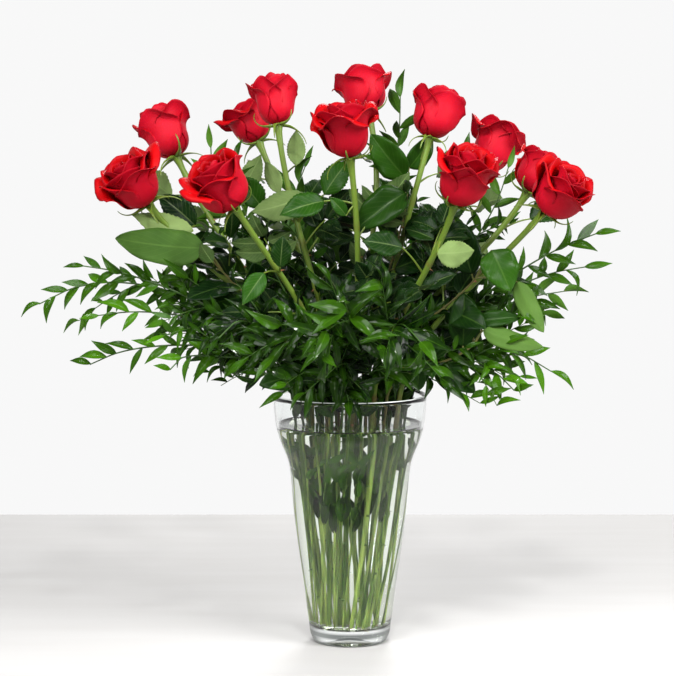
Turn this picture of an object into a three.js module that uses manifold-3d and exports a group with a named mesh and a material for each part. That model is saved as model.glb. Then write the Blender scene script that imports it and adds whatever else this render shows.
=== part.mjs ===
// Roses in a vase: twelve open roses, sprays of ruscus and stems of salal, standing in water in a
// clear glass vase. Millimetres, +Z up, the front faces -Y, the origin is the centre of the underside.
import * as THREE from "three";
import { mergeVertices } from "three/addons/utils/BufferGeometryUtils.js";
import Module from "manifold-3d";

const wasm = await Module();
wasm.setup();

// ---------- Driving dimensions ----------
const CLEARANCE = 0.35; // gap left between pieces that touch
const SEED = 11; // sets every random draw

const GLASS_WALL = 3;
const GLASS_FLOOR = 16; // thick solid foot
const GLASS_FACETS = 26;
const WATER_LEVEL = 226;
// [radius, height] up the outside of the glass: foot, tapering body, shoulder, flared neck, rim
const GLASS_OUTSIDE = [
  [37, 0], [41, 6], [45, 34], [54.6, 104], [61.5, 172], [66, 194], [72.6, 211], [77.3, 230], [79.5, 259],
];
const RIM_HEIGHT = 259;
const INNER_CORNER = { radius: 34, height: 24 }; // rounding between the glass floor and the wall

const NECK_REACH = 61; // how far from the middle a stem may pass the rim
const NECK_POWER = 0.6; // below 1, stems that reach half as far stand more than half as far out at the rim
const NECK_SPACING = 14; // stems ease apart to about this at the rim
const EASING_ROUNDS = 80;
const FOOT_SCALE = 0.52; // the stems draw together towards the floor
const FOOT_TWIST = 0.7; // radians that the bunch of stems turns on its way down
const FOOT_HEIGHT = GLASS_FLOOR + 1.1;
const STEM_STEPS = 6;
const LONGEST_REACH = 350;
const LIFT_SHARE = 0.3; // of the reach from rim to tip, for which a stem keeps the way it had in the water
const ROSE_HOLD_SHARE = 0.4; // of the same reach, for which a rose stem runs in line with its bloom
const VIA_SPAN = [0.4, 0.75]; // how far along its curve a stem may pass its via point
const BOW_TRIES = 33; // a stem that would touch another is bowed, in this many trials
const BOW_WAYS = 8; // ways round that are tried before the bow grows
const BOW_STEP = 5;
const BOW_TURN = 0.785; // radians from one way to the next
const BOW_RISE = 0.4;
const STEM_ROOM = 1.5; // room that ends the trials
const BLOOM_ROOM = 2; // kept by stems round a bloom
const BLOOM_MIDDLE = 0.55; // of the bloom's height

const STEM_RADIUS = { rose: 2.7, ruscus: 1.4, salal: 1.7 };
const STEM_SIDES = { rose: 5, ruscus: 3, salal: 3 };
const STEM_TAPER = 0.05; // share of the radius lost at each step above the rim
const HIP_RADIUS = 4.6;
const HIP_SWELL = 0.6; // extra radius round the middle of the hip
const HIP_LENGTH = 9;
const HIP_MIDDLE = 0.35; // of its length, down from the seat
const LEAF_THICKNESS = 1.6; // at the rib, thinning to the edge
const PETAL_THICKNESS = 2;
const STALK_WIDTH = 2;
const STALK_DROP = 12; // a leaf's stalk looks for a stem this far below the leaf
const STALK_START = 5; // from the middle of the stem, where a leaf stalk has its full width

// Each rose: seat of the bloom on its hip, top of the bloom's axis, half the bloom's width
const ROSES = [
  { seat: [-205, -30, 457], top: [-236, -50, 501], radius: 31 },
  { seat: [-183, 60, 504], top: [-208, 75, 557], radius: 29 },
  { seat: [-114, -95, 456], top: [-142, -118, 502], radius: 33 },
  { seat: [-97, 70, 520], top: [-115, 78, 561], radius: 27 },
  { seat: [-74, 0, 537], top: [-80, 14, 589], radius: 24 },
  { seat: [0, -70, 504], top: [-8, -78, 562], radius: 30 },
  { seat: [20, 95, 551], top: [9, 112, 598], radius: 30 },
  { seat: [83, 20, 524], top: [98, 34, 577], radius: 29 },
  { seat: [104, -90, 459], top: [121, -112, 515], radius: 31 },
  { seat: [142, 75, 491], top: [167, 92, 540], radius: 28 },
  { seat: [182, -5, 468], top: [207, 0, 509], radius: 29 },
  { seat: [194, -70, 451], top: [224, -92, 490], radius: 32 },
];

// Each ruscus spray: a point that its stem passes, the tip of its last leaf, and its longest leaf's length
const RUSCUS = [
  { via: [-228, 0, 374], tip: [-335, -15, 356], leaf: 44 },
  { via: [-205, -30, 378], tip: [-283, -30, 398], leaf: 36 },
  { via: [-188, -20, 344], tip: [-270, -40, 346], leaf: 42 },
  { via: [-180, -25, 312], tip: [-280, -30, 294], leaf: 40 },
  { via: [-150, -60, 305], tip: [-197, -85, 298], leaf: 40 },
  { via: [-130, 40, 443], tip: [-152, 50, 524], leaf: 34 },
  { via: [-108, -15, 448], tip: [-122, -8, 512], leaf: 30 },
  { via: [-56, 35, 436], tip: [-50, 50, 505], leaf: 34 },
  { via: [44, 55, 458], tip: [55, 68, 578], leaf: 32 },
  { via: [98, -20, 440], tip: [120, -28, 512], leaf: 30 },
  { via: [134, 20, 424], tip: [172, 40, 502], leaf: 32 },
  { via: [190, -20, 398], tip: [262, -32, 434], leaf: 42 },
  { via: [182, 10, 374], tip: [256, 10, 396], leaf: 40 },
  { via: [168, 40, 350], tip: [240, 60, 366], leaf: 40 },
  { via: [148, -20, 306], tip: [222, -30, 286], leaf: 44 },
  { via: [118, -52, 290], tip: [182, -76, 274], leaf: 40 },
  { via: [0, -104, 336], tip: [-5, -186, 376], leaf: 52 },
  { via: [44, -106, 340], tip: [76, -172, 332], leaf: 52 },
  { via: [-48, -100, 330], tip: [-82, -150, 316], leaf: 46 },
  { via: [-12, -82, 296], tip: [-20, -112, 266], leaf: 44 },
  { via: [-98, -80, 340], tip: [-144, -112, 334], leaf: 42 },
  { via: [-140, 70, 360], tip: [-215, 120, 400], leaf: 42 },
  { via: [-90, 120, 350], tip: [-140, 195, 350], leaf: 42 },
  { via: [-40, 120, 390], tip: [-60, 180, 440], leaf: 42 },
  { via: [20, 125, 350], tip: [30, 205, 350], leaf: 44 },
  { via: [70, 120, 390], tip: [100, 185, 430], leaf: 42 },
  { via: [110, 100, 340], tip: [170, 160, 345], leaf: 42 },
];
const RUSCUS_PLACES = 12; // leaf places along a spray; the middle two of each four and the last are filled
const RUSCUS_BARE = 0.3; // share of the stem above the rim that carries no leaves
const RUSCUS_END = 0.985; // place of the last leaf
const RUSCUS_PULL_BACK = 0.75; // of a leaf's length, from the end of the stem to the tip of the last leaf
const RUSCUS_WIDTH = 0.3; // of a leaf's length
const RUSCUS_CUP = 0.15;
// Turn round the stem and share of its length that a leaf is tried with until it stands clear
const RUSCUS_TRIES = [[0, 1], [0.5, 1], [-0.5, 1], [1, 0.9], [-1, 0.9], [0.3, 0.7], [-0.3, 0.7]];

// Each salal stem: a point it passes and its tip
const SALAL = [
  { via: [-104, -22, 362], tip: [-146, -38, 410] },
  { via: [48, 0, 400], tip: [60, 10, 484] },
  { via: [112, -42, 366], tip: [142, -56, 410] },
  { via: [100, -52, 300], tip: [133, -60, 334] },
  { via: [-28, -58, 286], tip: [-44, -72, 290] },
  { via: [-10, 100, 370], tip: [-20, 140, 450] },
];

// Large leaves one by one. face is 1 where the upper side looks out of the bunch and -1 where the pale
// underside does.
const LARGE_LEAVES = [
  { kind: "rose", base: [-160, -20, 429], tip: [-222, -35, 446], width: 28, face: -1 },
  { kind: "salal", base: [-147, -40, 412], tip: [-235, -60, 423], width: 40, face: -1 },
  { kind: "rose", base: [-160, 8, 433], tip: [-198, 12, 464], width: 30, face: 1 },
  { kind: "rose", base: [-112, 20, 471], tip: [-92, 20, 506], width: 24, face: -1 },
  { kind: "rose", base: [-74, 28, 466], tip: [-88, 30, 499], width: 18, face: 1 },
  { kind: "rose", base: [-91, 5, 452], tip: [-117, 0, 484], width: 28, face: 1 },
  { kind: "rose", base: [-44, -40, 465], tip: [-99, -50, 449], width: 34, face: -1 },
  { kind: "rose", base: [-26, -60, 460], tip: [-70, -72, 446], width: 28, face: 1 },
  { kind: "rose", base: [-56, 30, 495], tip: [-56, 30, 531], width: 20, face: 1 },
  { kind: "rose", base: [-26, -28, 466], tip: [-1, -26, 501], width: 28, face: 1 },
  { kind: "rose", base: [-4, -66, 446], tip: [-20, -72, 464], width: 14, face: 1 },
  { kind: "salal", base: [57, 40, 483], tip: [22, 42, 527], width: 34, face: -1 },
  { kind: "salal", base: [62, 40, 492], tip: [86, 44, 525], width: 24, face: -1 },
  { kind: "salal", base: [56, -36, 468], tip: [7, -46, 432], width: 36, face: 1 },
  { kind: "rose", base: [52, -70, 414], tip: [12, -76, 421], width: 28, face: 1 },
  { kind: "rose", base: [86, -94, 410], tip: [122, -104, 413], width: 30, face: -1 },
  { kind: "salal", base: [142, -60, 411], tip: [160, -72, 371], width: 38, face: 1 },
  { kind: "salal", base: [168, -60, 379], tip: [194, -68, 329], width: 22, face: -1 },
  { kind: "salal", base: [134, -64, 331], tip: [193, -74, 315], width: 22, face: -1 },
  { kind: "salal", base: [128, -50, 338], tip: [173, -54, 343], width: 18, face: 1 },
  { kind: "rose", base: [-69, -88, 396], tip: [-66, -94, 427], width: 22, face: 1 },
  { kind: "rose", base: [-85, -92, 390], tip: [-106, -98, 359], width: 22, face: 1 },
  { kind: "rose", base: [-138, -60, 399], tip: [-150, -66, 418], width: 16, face: -1 },
  { kind: "salal", base: [-40, -80, 288], tip: [-90, -94, 279], width: 28, face: 1 },
  { kind: "salal", base: [68, -66, 270], tip: [70, -72, 314], width: 16, face: 1 },
  { kind: "rose", base: [-190, 75, 462], tip: [-228, 98, 484], width: 32, face: 1 },
  { kind: "rose", base: [-150, 70, 430], tip: [-186, 108, 440], width: 32, face: 1 },
  { kind: "rose", base: [-96, 86, 480], tip: [-112, 132, 492], width: 30, face: 1 },
  { kind: "rose", base: [-70, 84, 430], tip: [-92, 132, 428], width: 34, face: 1 },
  { kind: "rose", base: [16, 104, 500], tip: [0, 152, 506], width: 30, face: 1 },
  { kind: "rose", base: [24, 100, 440], tip: [44, 150, 446], width: 34, face: 1 },
  { kind: "rose", base: [92, 40, 486], tip: [118, 82, 502], width: 28, face: 1 },
  { kind: "rose", base: [136, 84, 450], tip: [166, 128, 458], width: 32, face: 1 },
  { kind: "rose", base: [120, 76, 400], tip: [150, 122, 396], width: 34, face: 1 },
  { kind: "rose", base: [186, 6, 440], tip: [224, 36, 452], width: 28, face: 1 },
  { kind: "salal", base: [-18, 138, 420], tip: [-52, 176, 404], width: 38, face: 1 },
  { kind: "salal", base: [-12, 140, 440], tip: [20, 186, 442], width: 38, face: 1 },
];

const LARGE_LEAF_ARCH = 0.1; // of its length
const LARGE_LEAF_CUP = 0.12;
const DEPTH_SHIFTS = [0, -8, 8, -16, 16, -24, 24, -32, 32]; // tried until a large leaf stands clear

// Outlines from base to tip: [distance along the leaf, share of its half width]
const RUSCUS_OUTLINE = { edge: [[0.2, 0.86], [0.52, 0.86]], rib: [0.36], keeled: true };
const SALAL_OUTLINE = { edge: [[0.12, 0.62], [0.34, 1], [0.64, 0.94], [0.87, 0.52]], rib: [0.3, 0.66] };
const ROSE_OUTLINE = {
  edge: [[0.14, 0.62], [0.37, 1], [0.44, 0.86], [0.68, 0.84], [0.75, 0.62]],
  rib: [0.32, 0.7],
};
const SEPAL_OUTLINE = { edge: [[0.3, 1]], rib: [0.4], keeled: true };
const PETAL_OUTLINE = { edge: [[0.45, 0.9], [0.88, 0.86]], rib: [0.66], keeled: true };

// ---------- Solids ----------
const vector = (values) => new THREE.Vector3(...values);
const alongLine = (from, to, share) => from.clone().lerp(to, share);

// A repeatable draw from 0 to 1 for one trait of one piece of one plant.
function chance(plant, piece, trait) {
  const wave = Math.sin(SEED * 4.71 + plant * 12.9898 + piece * 78.233 + trait * 37.719) * 43758.5453;
  return wave - Math.floor(wave);
}

function solidFrom(points, faces) {
  const vertProperties = new Float32Array(points.flatMap((point) => [point.x, point.y, point.z]));
  let volume = 0;
  for (const [a, b, c] of faces) {
    volume += points[a].dot(points[b].clone().cross(points[c]));
  }
  const outward = volume > 0 ? faces : faces.map(([a, b, c]) => [a, c, b]);
  const triVerts = new Uint32Array(outward.flat());
  return new wasm.Manifold(new wasm.Mesh({ numProp: 3, vertProperties, triVerts }));
}

function solidOfGeometry(geometry) {
  geometry.deleteAttribute("normal");
  geometry.deleteAttribute("uv");
  const merged = mergeVertices(geometry, 1e-4);
  const place = merged.getAttribute("position");
  const points = [];
  for (let i = 0; i < place.count; i++) {
    points.push(new THREE.Vector3().fromBufferAttribute(place, i));
  }
  const faces = [];
  for (let i = 0; i < merged.index.count; i += 3) {
    const face = [merged.index.getX(i), merged.index.getX(i + 1), merged.index.getX(i + 2)];
    if (new Set(face).size === 3) {
      faces.push(face);
    }
  }
  return solidFrom(points, faces);
}

// A round bar through the points, with a radius at each, closed at both ends.
function sweep(points, radii, sides) {
  const rings = [];
  let side = new THREE.Vector3(1, 0.3, 0);
  points.forEach((point, i) => {
    const ahead = points[Math.min(i + 1, points.length - 1)];
    const behind = points[Math.max(i - 1, 0)];
    const along = ahead.clone().sub(behind).normalize();
    side = side.clone().addScaledVector(along, -side.dot(along)).normalize();
    const across = along.clone().cross(side);
    for (let k = 0; k < sides; k++) {
      const angle = (2 * Math.PI * k) / sides;
      const spoke = side.clone().multiplyScalar(Math.cos(angle)).addScaledVector(across, Math.sin(angle));
      rings.push(point.clone().addScaledVector(spoke, radii[i]));
    }
  });
  const faces = [];
  const last = (points.length - 1) * sides;
  for (let start = 0; start < last; start += sides) {
    for (let k = 0; k < sides; k++) {
      const next = (k + 1) % sides;
      faces.push([start + k, start + next, start + next + sides]);
      faces.push([start + k, start + next + sides, start + k + sides]);
    }
  }
  for (let k = 1; k < sides - 1; k++) {
    faces.push([0, k + 1, k], [last, last + k, last + k + 1]);
  }
  return solidFrom(rings, faces);
}

// Triangles between one edge and the rib of a blade; both lists run from the base to the tip.
function bladeFaces(edge, rib) {
  const faces = [];
  let e = 1;
  let r = 1;
  faces.push([edge[0].id, edge[1].id, rib[1].id]);
  while (e < edge.length - 2 || r < rib.length - 2) {
    const ribDone = r === rib.length - 2;
    const edgeNext = ribDone || (e < edge.length - 2 && edge[e + 1].along <= rib[r + 1].along);
    if (edgeNext) {
      faces.push([edge[e].id, edge[e + 1].id, rib[r].id]);
      e += 1;
    } else {
      faces.push([edge[e].id, rib[r + 1].id, rib[r].id]);
      r += 1;
    }
  }
  faces.push([edge[e].id, edge[e + 1].id, rib[r].id]);
  return faces;
}

// Triangles straight across a blade from its left edge to its right edge.
function ladderFaces(left, right) {
  const faces = [[right[0].id, right[1].id, left[1].id]];
  for (let i = 1; i < left.length - 2; i++) {
    faces.push([right[i].id, right[i + 1].id, left[i + 1].id], [right[i].id, left[i + 1].id, left[i].id]);
  }
  const end = left.length - 2;
  faces.push([right[end].id, right[end + 1].id, left[end].id]);
  return faces;
}

// A leaf, sepal or petal: an arched blade that runs from base past bend to tip, thick at its rib and thin
// at its edge. up is the way its upper face looks, and cup lifts its edges by a share of the half width.
// With a root it also has a stalk from there to its base. A keeled blade has a rib on its under face only.
function blade({ root, base, bend, tip, up, width, thickness, outline, cup = 0 }) {
  const midline = new THREE.QuadraticBezierCurve3(base, bend, tip);
  const side = tip.clone().sub(base).cross(up).normalize();
  const points = [];
  const addPoint = (along, share, layer) => {
    const onStalk = along < 0;
    const run = onStalk ? base.clone().sub(root) : midline.getTangent(along);
    const centre = onStalk ? alongLine(base, root, -along) : midline.getPoint(along);
    const normal = side.clone().cross(run).normalize();
    const lift = Math.abs(share) * cup * (width / 2) + layer * (thickness / 2);
    points.push(centre.addScaledVector(side, (share * width) / 2).addScaledVector(normal, lift));
    return { id: points.length - 1, along };
  };
  const stalk = root ? [STALK_START / base.distanceTo(root) - 1, 0] : [];
  const edge = [...stalk.map((along) => [along, STALK_WIDTH / width]), ...outline.edge];
  const first = addPoint(root ? -1 : 0, 0, 0);
  const last = addPoint(1, 0, 0);
  const [left, right] = [-1, 1].map((hand) => {
    return [first, ...edge.map(([along, share]) => addPoint(along, hand * share, 0)), last];
  });
  const ribPlaces = [...stalk, ...outline.rib];
  const ribOn = (layer) => [first, ...ribPlaces.map((along) => addPoint(along, 0, layer)), last];
  const turned = (faces) => faces.map(([a, b, c]) => [a, c, b]);
  const lower = ribOn(outline.keeled ? -2 : -1);
  const faces = [...turned(bladeFaces(right, lower)), ...bladeFaces(left, lower)];
  if (outline.keeled) {
    return solidFrom(points, [...faces, ...ladderFaces(left, right)]);
  }
  const upper = ribOn(1);
  return solidFrom(points, [...faces, ...bladeFaces(right, upper), ...turned(bladeFaces(left, upper))]);
}

// ---------- Glass and water ----------
function latheSolid(profile) {
  const outline = profile.map(([radius, height]) => new THREE.Vector2(radius, height));
  const geometry = new THREE.LatheGeometry(outline, GLASS_FACETS);
  geometry.rotateX(Math.PI / 2);
  return solidOfGeometry(geometry);
}

function glassRadius(height) {
  const above = GLASS_OUTSIDE.findIndex(([, level]) => level >= height);
  const [radiusLow, low] = GLASS_OUTSIDE[above - 1];
  const [radiusHigh, high] = GLASS_OUTSIDE[above];
  return radiusLow + ((radiusHigh - radiusLow) * (height - low)) / (high - low);
}

function vaseSolid() {
  const inside = GLASS_OUTSIDE.filter(([, height]) => height > INNER_CORNER.height);
  const innerWall = inside.map(([radius, height]) => [radius - GLASS_WALL, height]).reverse();
  const corner = [glassRadius(INNER_CORNER.height) - GLASS_WALL, INNER_CORNER.height];
  const floor = [[INNER_CORNER.radius, GLASS_FLOOR], [0, GLASS_FLOOR]];
  return latheSolid([[0, 0], ...GLASS_OUTSIDE, ...innerWall, corner, ...floor]);
}

const HOLE_OVERSHOOT = 0.1; // share of a stem's length in the water that its hole is cut on past its end

function waterSolid(stems) {
  const back = GLASS_WALL + CLEARANCE;
  const heights = GLASS_OUTSIDE.map(([, height]) => height);
  const wetted = heights.filter((height) => height > INNER_CORNER.height && height < WATER_LEVEL);
  const levels = [INNER_CORNER.height, ...wetted, WATER_LEVEL];
  const wall = levels.map((height) => [glassRadius(height) - back, height]);
  const bottom = GLASS_FLOOR + CLEARANCE;
  const corner = [INNER_CORNER.radius - CLEARANCE, bottom];
  let water = latheSolid([[0, bottom], corner, ...wall, [0, WATER_LEVEL]]);
  for (const stem of stems) {
    const low = alongLine(stem.points[0], stem.points[1], -HOLE_OVERSHOOT);
    const radius = stem.radius + CLEARANCE / Math.cos(Math.PI / stem.sides);
    water = water.subtract(sweep([low, stem.points[1]], [radius, radius], stem.sides));
  }
  return water;
}

// ---------- Where the stems run ----------
// Each stem passes the rim on the side it is bound for, and the places ease apart.
function neckPlaces(tips) {
  const places = tips.map((tip) => {
    const reach = Math.max(Math.hypot(tip.x, tip.y), 1);
    const radius = NECK_REACH * Math.min(reach / LONGEST_REACH, 1) ** NECK_POWER;
    return new THREE.Vector3((tip.x / reach) * radius, (tip.y / reach) * radius, RIM_HEIGHT);
  });
  for (let round = 0; round < EASING_ROUNDS; round++) {
    for (let i = 0; i < places.length; i++) {
      for (let j = i + 1; j < places.length; j++) {
        const apart = places[j].clone().sub(places[i]);
        const push = (NECK_SPACING - apart.length()) / 2;
        if (push > 0) {
          apart.normalize();
          places[i].addScaledVector(apart, -push);
          places[j].addScaledVector(apart, push);
        }
      }
    }
    for (const place of places) {
      const shrink = Math.min(NECK_REACH / Math.hypot(place.x, place.y), 1);
      place.x *= shrink;
      place.y *= shrink;
    }
  }
  return places;
}

// The bunch narrows and turns evenly on its way down, so straight stems never meet in the water.
function footPlace(neck) {
  const foot = new THREE.Vector3(neck.x, neck.y, 0).multiplyScalar(FOOT_SCALE);
  foot.applyAxisAngle(new THREE.Vector3(0, 0, 1), -FOOT_TWIST);
  foot.z = FOOT_HEIGHT;
  return foot;
}

// Shortest distance between two straight stretches.
function stretchGap(a, b, c, d) {
  const u = b.clone().sub(a);
  const v = d.clone().sub(c);
  const w = a.clone().sub(c);
  const uu = u.dot(u);
  const vv = v.dot(v);
  const uv = u.dot(v);
  const uw = u.dot(w);
  const vw = v.dot(w);
  const clamp = (value) => Math.min(Math.max(value, 0), 1);
  const spread = uu * vv - uv * uv;
  let s = spread > 1e-9 ? clamp((uv * vw - vv * uw) / spread) : 0;
  const t = vv > 1e-9 ? clamp((uv * s + vw) / vv) : 0;
  s = uu > 1e-9 ? clamp((uv * t - uw) / uu) : 0;
  return a.clone().addScaledVector(u, s).distanceTo(c.clone().addScaledVector(v, t));
}

// The last pull on a stem's curve that makes it pass the via point.
function holdThrough(neck, lift, via, tip) {
  const before = via.distanceTo(neck);
  const t = Math.min(Math.max(before / (before + via.distanceTo(tip)), VIA_SPAN[0]), VIA_SPAN[1]);
  const hold = via.clone().addScaledVector(neck, -((1 - t) ** 3));
  hold.addScaledVector(lift, -3 * t * (1 - t) ** 2).addScaledVector(tip, -(t ** 3));
  return hold.divideScalar(3 * t * t * (1 - t));
}

function routePoints(foot, neck, lift, hold, tip) {
  const curve = new THREE.CubicBezierCurve3(neck, lift, hold, tip);
  return [foot, ...curve.getPoints(STEM_STEPS)];
}

// How much room a route has to what is already placed, above the rim.
function routeRoom(points, radius, obstacles) {
  let room = Infinity;
  for (let i = 1; i < points.length - 1; i++) {
    for (const other of obstacles) {
      const gap = stretchGap(points[i], points[i + 1], other.from, other.to) - other.radius - radius;
      room = Math.min(room, gap);
    }
  }
  return room;
}

// A stem that would touch another one is bowed a little to one side, then a little more.
function clearRoute(foot, neck, lift, hold, tip, radius, obstacles) {
  let best = null;
  for (let attempt = 0; attempt < BOW_TRIES; attempt++) {
    const bow = BOW_STEP * Math.ceil(attempt / BOW_WAYS);
    const turn = attempt * BOW_TURN;
    const way = new THREE.Vector3(Math.cos(turn), Math.sin(turn), BOW_RISE).multiplyScalar(bow);
    const points = routePoints(foot, neck, lift.clone().add(way), hold.clone().add(way), tip);
    const room = routeRoom(points, radius, obstacles);
    if (best === null || room > best.room) {
      best = { points, room };
    }
    if (room > STEM_ROOM) {
      break;
    }
  }
  return best.points;
}

const twoDigits = (number) => String(number).padStart(2, "0");

function growStems() {
  const roses = ROSES.map(({ seat, top, radius }, i) => {
    const axis = vector(top).sub(vector(seat));
    const height = axis.length();
    axis.normalize();
    return { kind: "rose", number: i + 1, tip: vector(seat), axis, height, bloomRadius: radius };
  });
  const ruscus = RUSCUS.map(({ via, tip, leaf }, i) => {
    const back = vector(via).sub(vector(tip)).setLength(RUSCUS_PULL_BACK * leaf);
    return { kind: "ruscus", number: i + 1, via: vector(via), tip: vector(tip).add(back), leaf };
  });
  const salal = SALAL.map(({ via, tip }, i) => {
    return { kind: "salal", number: i + 1, via: vector(via), tip: vector(tip) };
  });
  const plants = [...roses, ...salal, ...ruscus];
  const necks = neckPlaces(plants.map((plant) => plant.tip));
  const obstacles = roses.map((rose) => {
    const middle = rose.tip.clone().addScaledVector(rose.axis, rose.height * BLOOM_MIDDLE);
    return { from: middle, to: middle, radius: rose.bloomRadius + BLOOM_ROOM, owner: rose };
  });
  plants.forEach((plant, i) => {
    const neck = necks[i];
    const foot = footPlace(neck);
    plant.radius = STEM_RADIUS[plant.kind];
    plant.sides = STEM_SIDES[plant.kind];
    const reach = plant.tip.distanceTo(neck);
    const lift = neck.clone().addScaledVector(neck.clone().sub(foot).normalize(), reach * LIFT_SHARE);
    let hold;
    if (plant.kind === "rose") {
      hold = plant.tip.clone().addScaledVector(plant.axis, -ROSE_HOLD_SHARE * reach);
    } else {
      hold = holdThrough(neck, lift, plant.via, plant.tip);
    }
    const others = obstacles.filter((obstacle) => obstacle.owner !== plant);
    plant.points = clearRoute(foot, neck, lift, hold, plant.tip, plant.radius, others);
    for (let k = 1; k < plant.points.length - 1; k++) {
      const [from, to] = [plant.points[k], plant.points[k + 1]];
      obstacles.push({ from, to, radius: plant.radius, owner: plant });
    }
  });
  return plants;
}

// ---------- Roses ----------
// The head of a bloom: rings of [share of radius, share of height, petals round it, how far they wave]
const HEAD_SIDES = 12;
const HEAD_RINGS = [
  [0.22, 0, 0, 0], [0.7, 0.14, 0, 0], [0.98, 0.44, 0, 0], [0.9, 0.84, 4, 0.07], [0.72, 0.74, 4, 0.02],
  [0.6, 0.94, 3, 0.06], [0.44, 0.82, 3, 0.02], [0.31, 1, 3, 0.05],
];
const HEAD_SHARE = 0.86; // of the bloom's half width; the outer petals make the rest
const HEAD_CENTRE = 0.88; // of the bloom's height
const RING_TURN = 0.37; // share of a petal that each ring is turned past the one outside it
const OUTER_PETALS = 4;
// An outer petal, in shares of the head's radius and of the bloom's height: [out, up]
const OUTER_BASE = [0.3, 0.1];
const OUTER_BEND = [1.4, 0.3];
const OUTER_WIDTH = 1.35; // of the bloom's half width
const OUTER_CUP = 0.35;

// Sepals: narrow green leaves under the bloom
const SEPALS = 5;
const SEPAL_SEAT = -3.4; // up the axis from the seat of the bloom
const SEPAL_BEND = -2.4;
const SEPAL_WIDTH = 6;

// Turns a place in a bloom's own frame (out from the axis at an angle, and up it) into the vase's.
function bloomFrame(rose) {
  const reference = Math.abs(rose.axis.z) < 0.95 ? new THREE.Vector3(0, 0, 1) : new THREE.Vector3(1, 0, 0);
  const first = rose.axis.clone().cross(reference).normalize();
  const second = rose.axis.clone().cross(first);
  const outward = (angle) => {
    return first.clone().multiplyScalar(Math.cos(angle)).addScaledVector(second, Math.sin(angle));
  };
  const place = (angle, out, up) => {
    return rose.tip.clone().addScaledVector(outward(angle), out).addScaledVector(rose.axis, up);
  };
  return { outward, place };
}

function bloomSolid(rose) {
  const { outward, place } = bloomFrame(rose);
  const radius = rose.bloomRadius * HEAD_SHARE;
  const spin = chance(rose.number, 0, 1) * 2 * Math.PI;
  const points = [place(0, 0, 0)];
  HEAD_RINGS.forEach(([out, up, petals, wave], ring) => {
    for (let k = 0; k < HEAD_SIDES; k++) {
      const angle = (2 * Math.PI * k) / HEAD_SIDES;
      // each petal of a ring starts outside the one before it and ends inside the one after it
      const turn = ((angle * petals) / (2 * Math.PI) + ring * RING_TURN) % 1;
      const wrap = petals === 0 ? 0 : wave * (1 - 2 * turn);
      const dip = petals === 0 ? 0 : wave * Math.sin(Math.PI * turn);
      points.push(place(angle + spin, (out + wrap) * radius, (up + dip - wave / 2) * rose.height));
    }
  });
  points.push(place(0, 0, HEAD_CENTRE * rose.height));
  const faces = [];
  const centre = points.length - 1;
  const lastRing = 1 + (HEAD_RINGS.length - 1) * HEAD_SIDES;
  for (let k = 0; k < HEAD_SIDES; k++) {
    const next = (k + 1) % HEAD_SIDES;
    faces.push([0, 1 + next, 1 + k], [centre, lastRing + k, lastRing + next]);
    for (let start = 1; start < lastRing; start += HEAD_SIDES) {
      faces.push([start + k, start + next, start + next + HEAD_SIDES]);
      faces.push([start + k, start + next + HEAD_SIDES, start + k + HEAD_SIDES]);
    }
  }
  let bloom = solidFrom(points, faces);
  for (let petal = 0; petal < OUTER_PETALS; petal++) {
    const angle = spin + (2 * Math.PI * (petal + 0.3 * chance(rose.number, petal, 2))) / OUTER_PETALS;
    const tipOut = (0.98 + 0.06 * chance(rose.number, petal, 3)) * rose.bloomRadius;
    const tipUp = (0.6 + 0.2 * chance(rose.number, petal, 4)) * rose.height;
    const petalSolid = blade({
      base: place(angle, radius * OUTER_BASE[0], rose.height * OUTER_BASE[1]),
      bend: place(angle, radius * OUTER_BEND[0], rose.height * OUTER_BEND[1]),
      tip: place(angle, tipOut, tipUp),
      up: outward(angle).negate(),
      width: rose.bloomRadius * OUTER_WIDTH,
      thickness: PETAL_THICKNESS,
      outline: PETAL_OUTLINE,
      cup: OUTER_CUP,
    });
    bloom = bloom.add(petalSolid);
  }
  return bloom;
}

// The stem of a rose swells into a round hip under the bloom.
function roseStemSolid(rose) {
  const seat = rose.tip.clone().addScaledVector(rose.axis, -CLEARANCE);
  const swell = seat.clone().addScaledVector(rose.axis, -HIP_MIDDLE * HIP_LENGTH);
  const under = seat.clone().addScaledVector(rose.axis, -HIP_LENGTH);
  const points = [...rose.points.slice(0, -1), under, swell, seat];
  const radii = points.map(() => STEM_RADIUS.rose);
  radii[radii.length - 2] = HIP_RADIUS + HIP_SWELL;
  radii[radii.length - 1] = HIP_RADIUS;
  return sweep(points, radii, rose.sides);
}

function sepalSolids(rose) {
  const { outward, place } = bloomFrame(rose);
  return Array.from({ length: SEPALS }, (_, sepal) => {
    const angle = (2 * Math.PI * (sepal + 0.5 * chance(rose.number, sepal, 5))) / SEPALS;
    const length = 20 + 8 * chance(rose.number, sepal, 6);
    const drop = 3 + 9 * chance(rose.number, sepal, 7);
    return blade({
      base: place(angle, 0, SEPAL_SEAT),
      bend: place(angle, 0.5 * length, SEPAL_BEND),
      tip: place(angle, length, -drop),
      up: rose.axis,
      width: SEPAL_WIDTH,
      thickness: LEAF_THICKNESS,
      outline: SEPAL_OUTLINE,
    });
  });
}

// ---------- Leaves ----------
function alongStem(points, share) {
  const steps = points.length - 2;
  const place = Math.min(Math.max(share, 0), 0.9999) * steps;
  const index = 1 + Math.floor(place);
  const point = alongLine(points[index], points[index + 1], place - Math.floor(place));
  const tangent = points[index + 1].clone().sub(points[index]).normalize();
  return { point, tangent };
}

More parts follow.
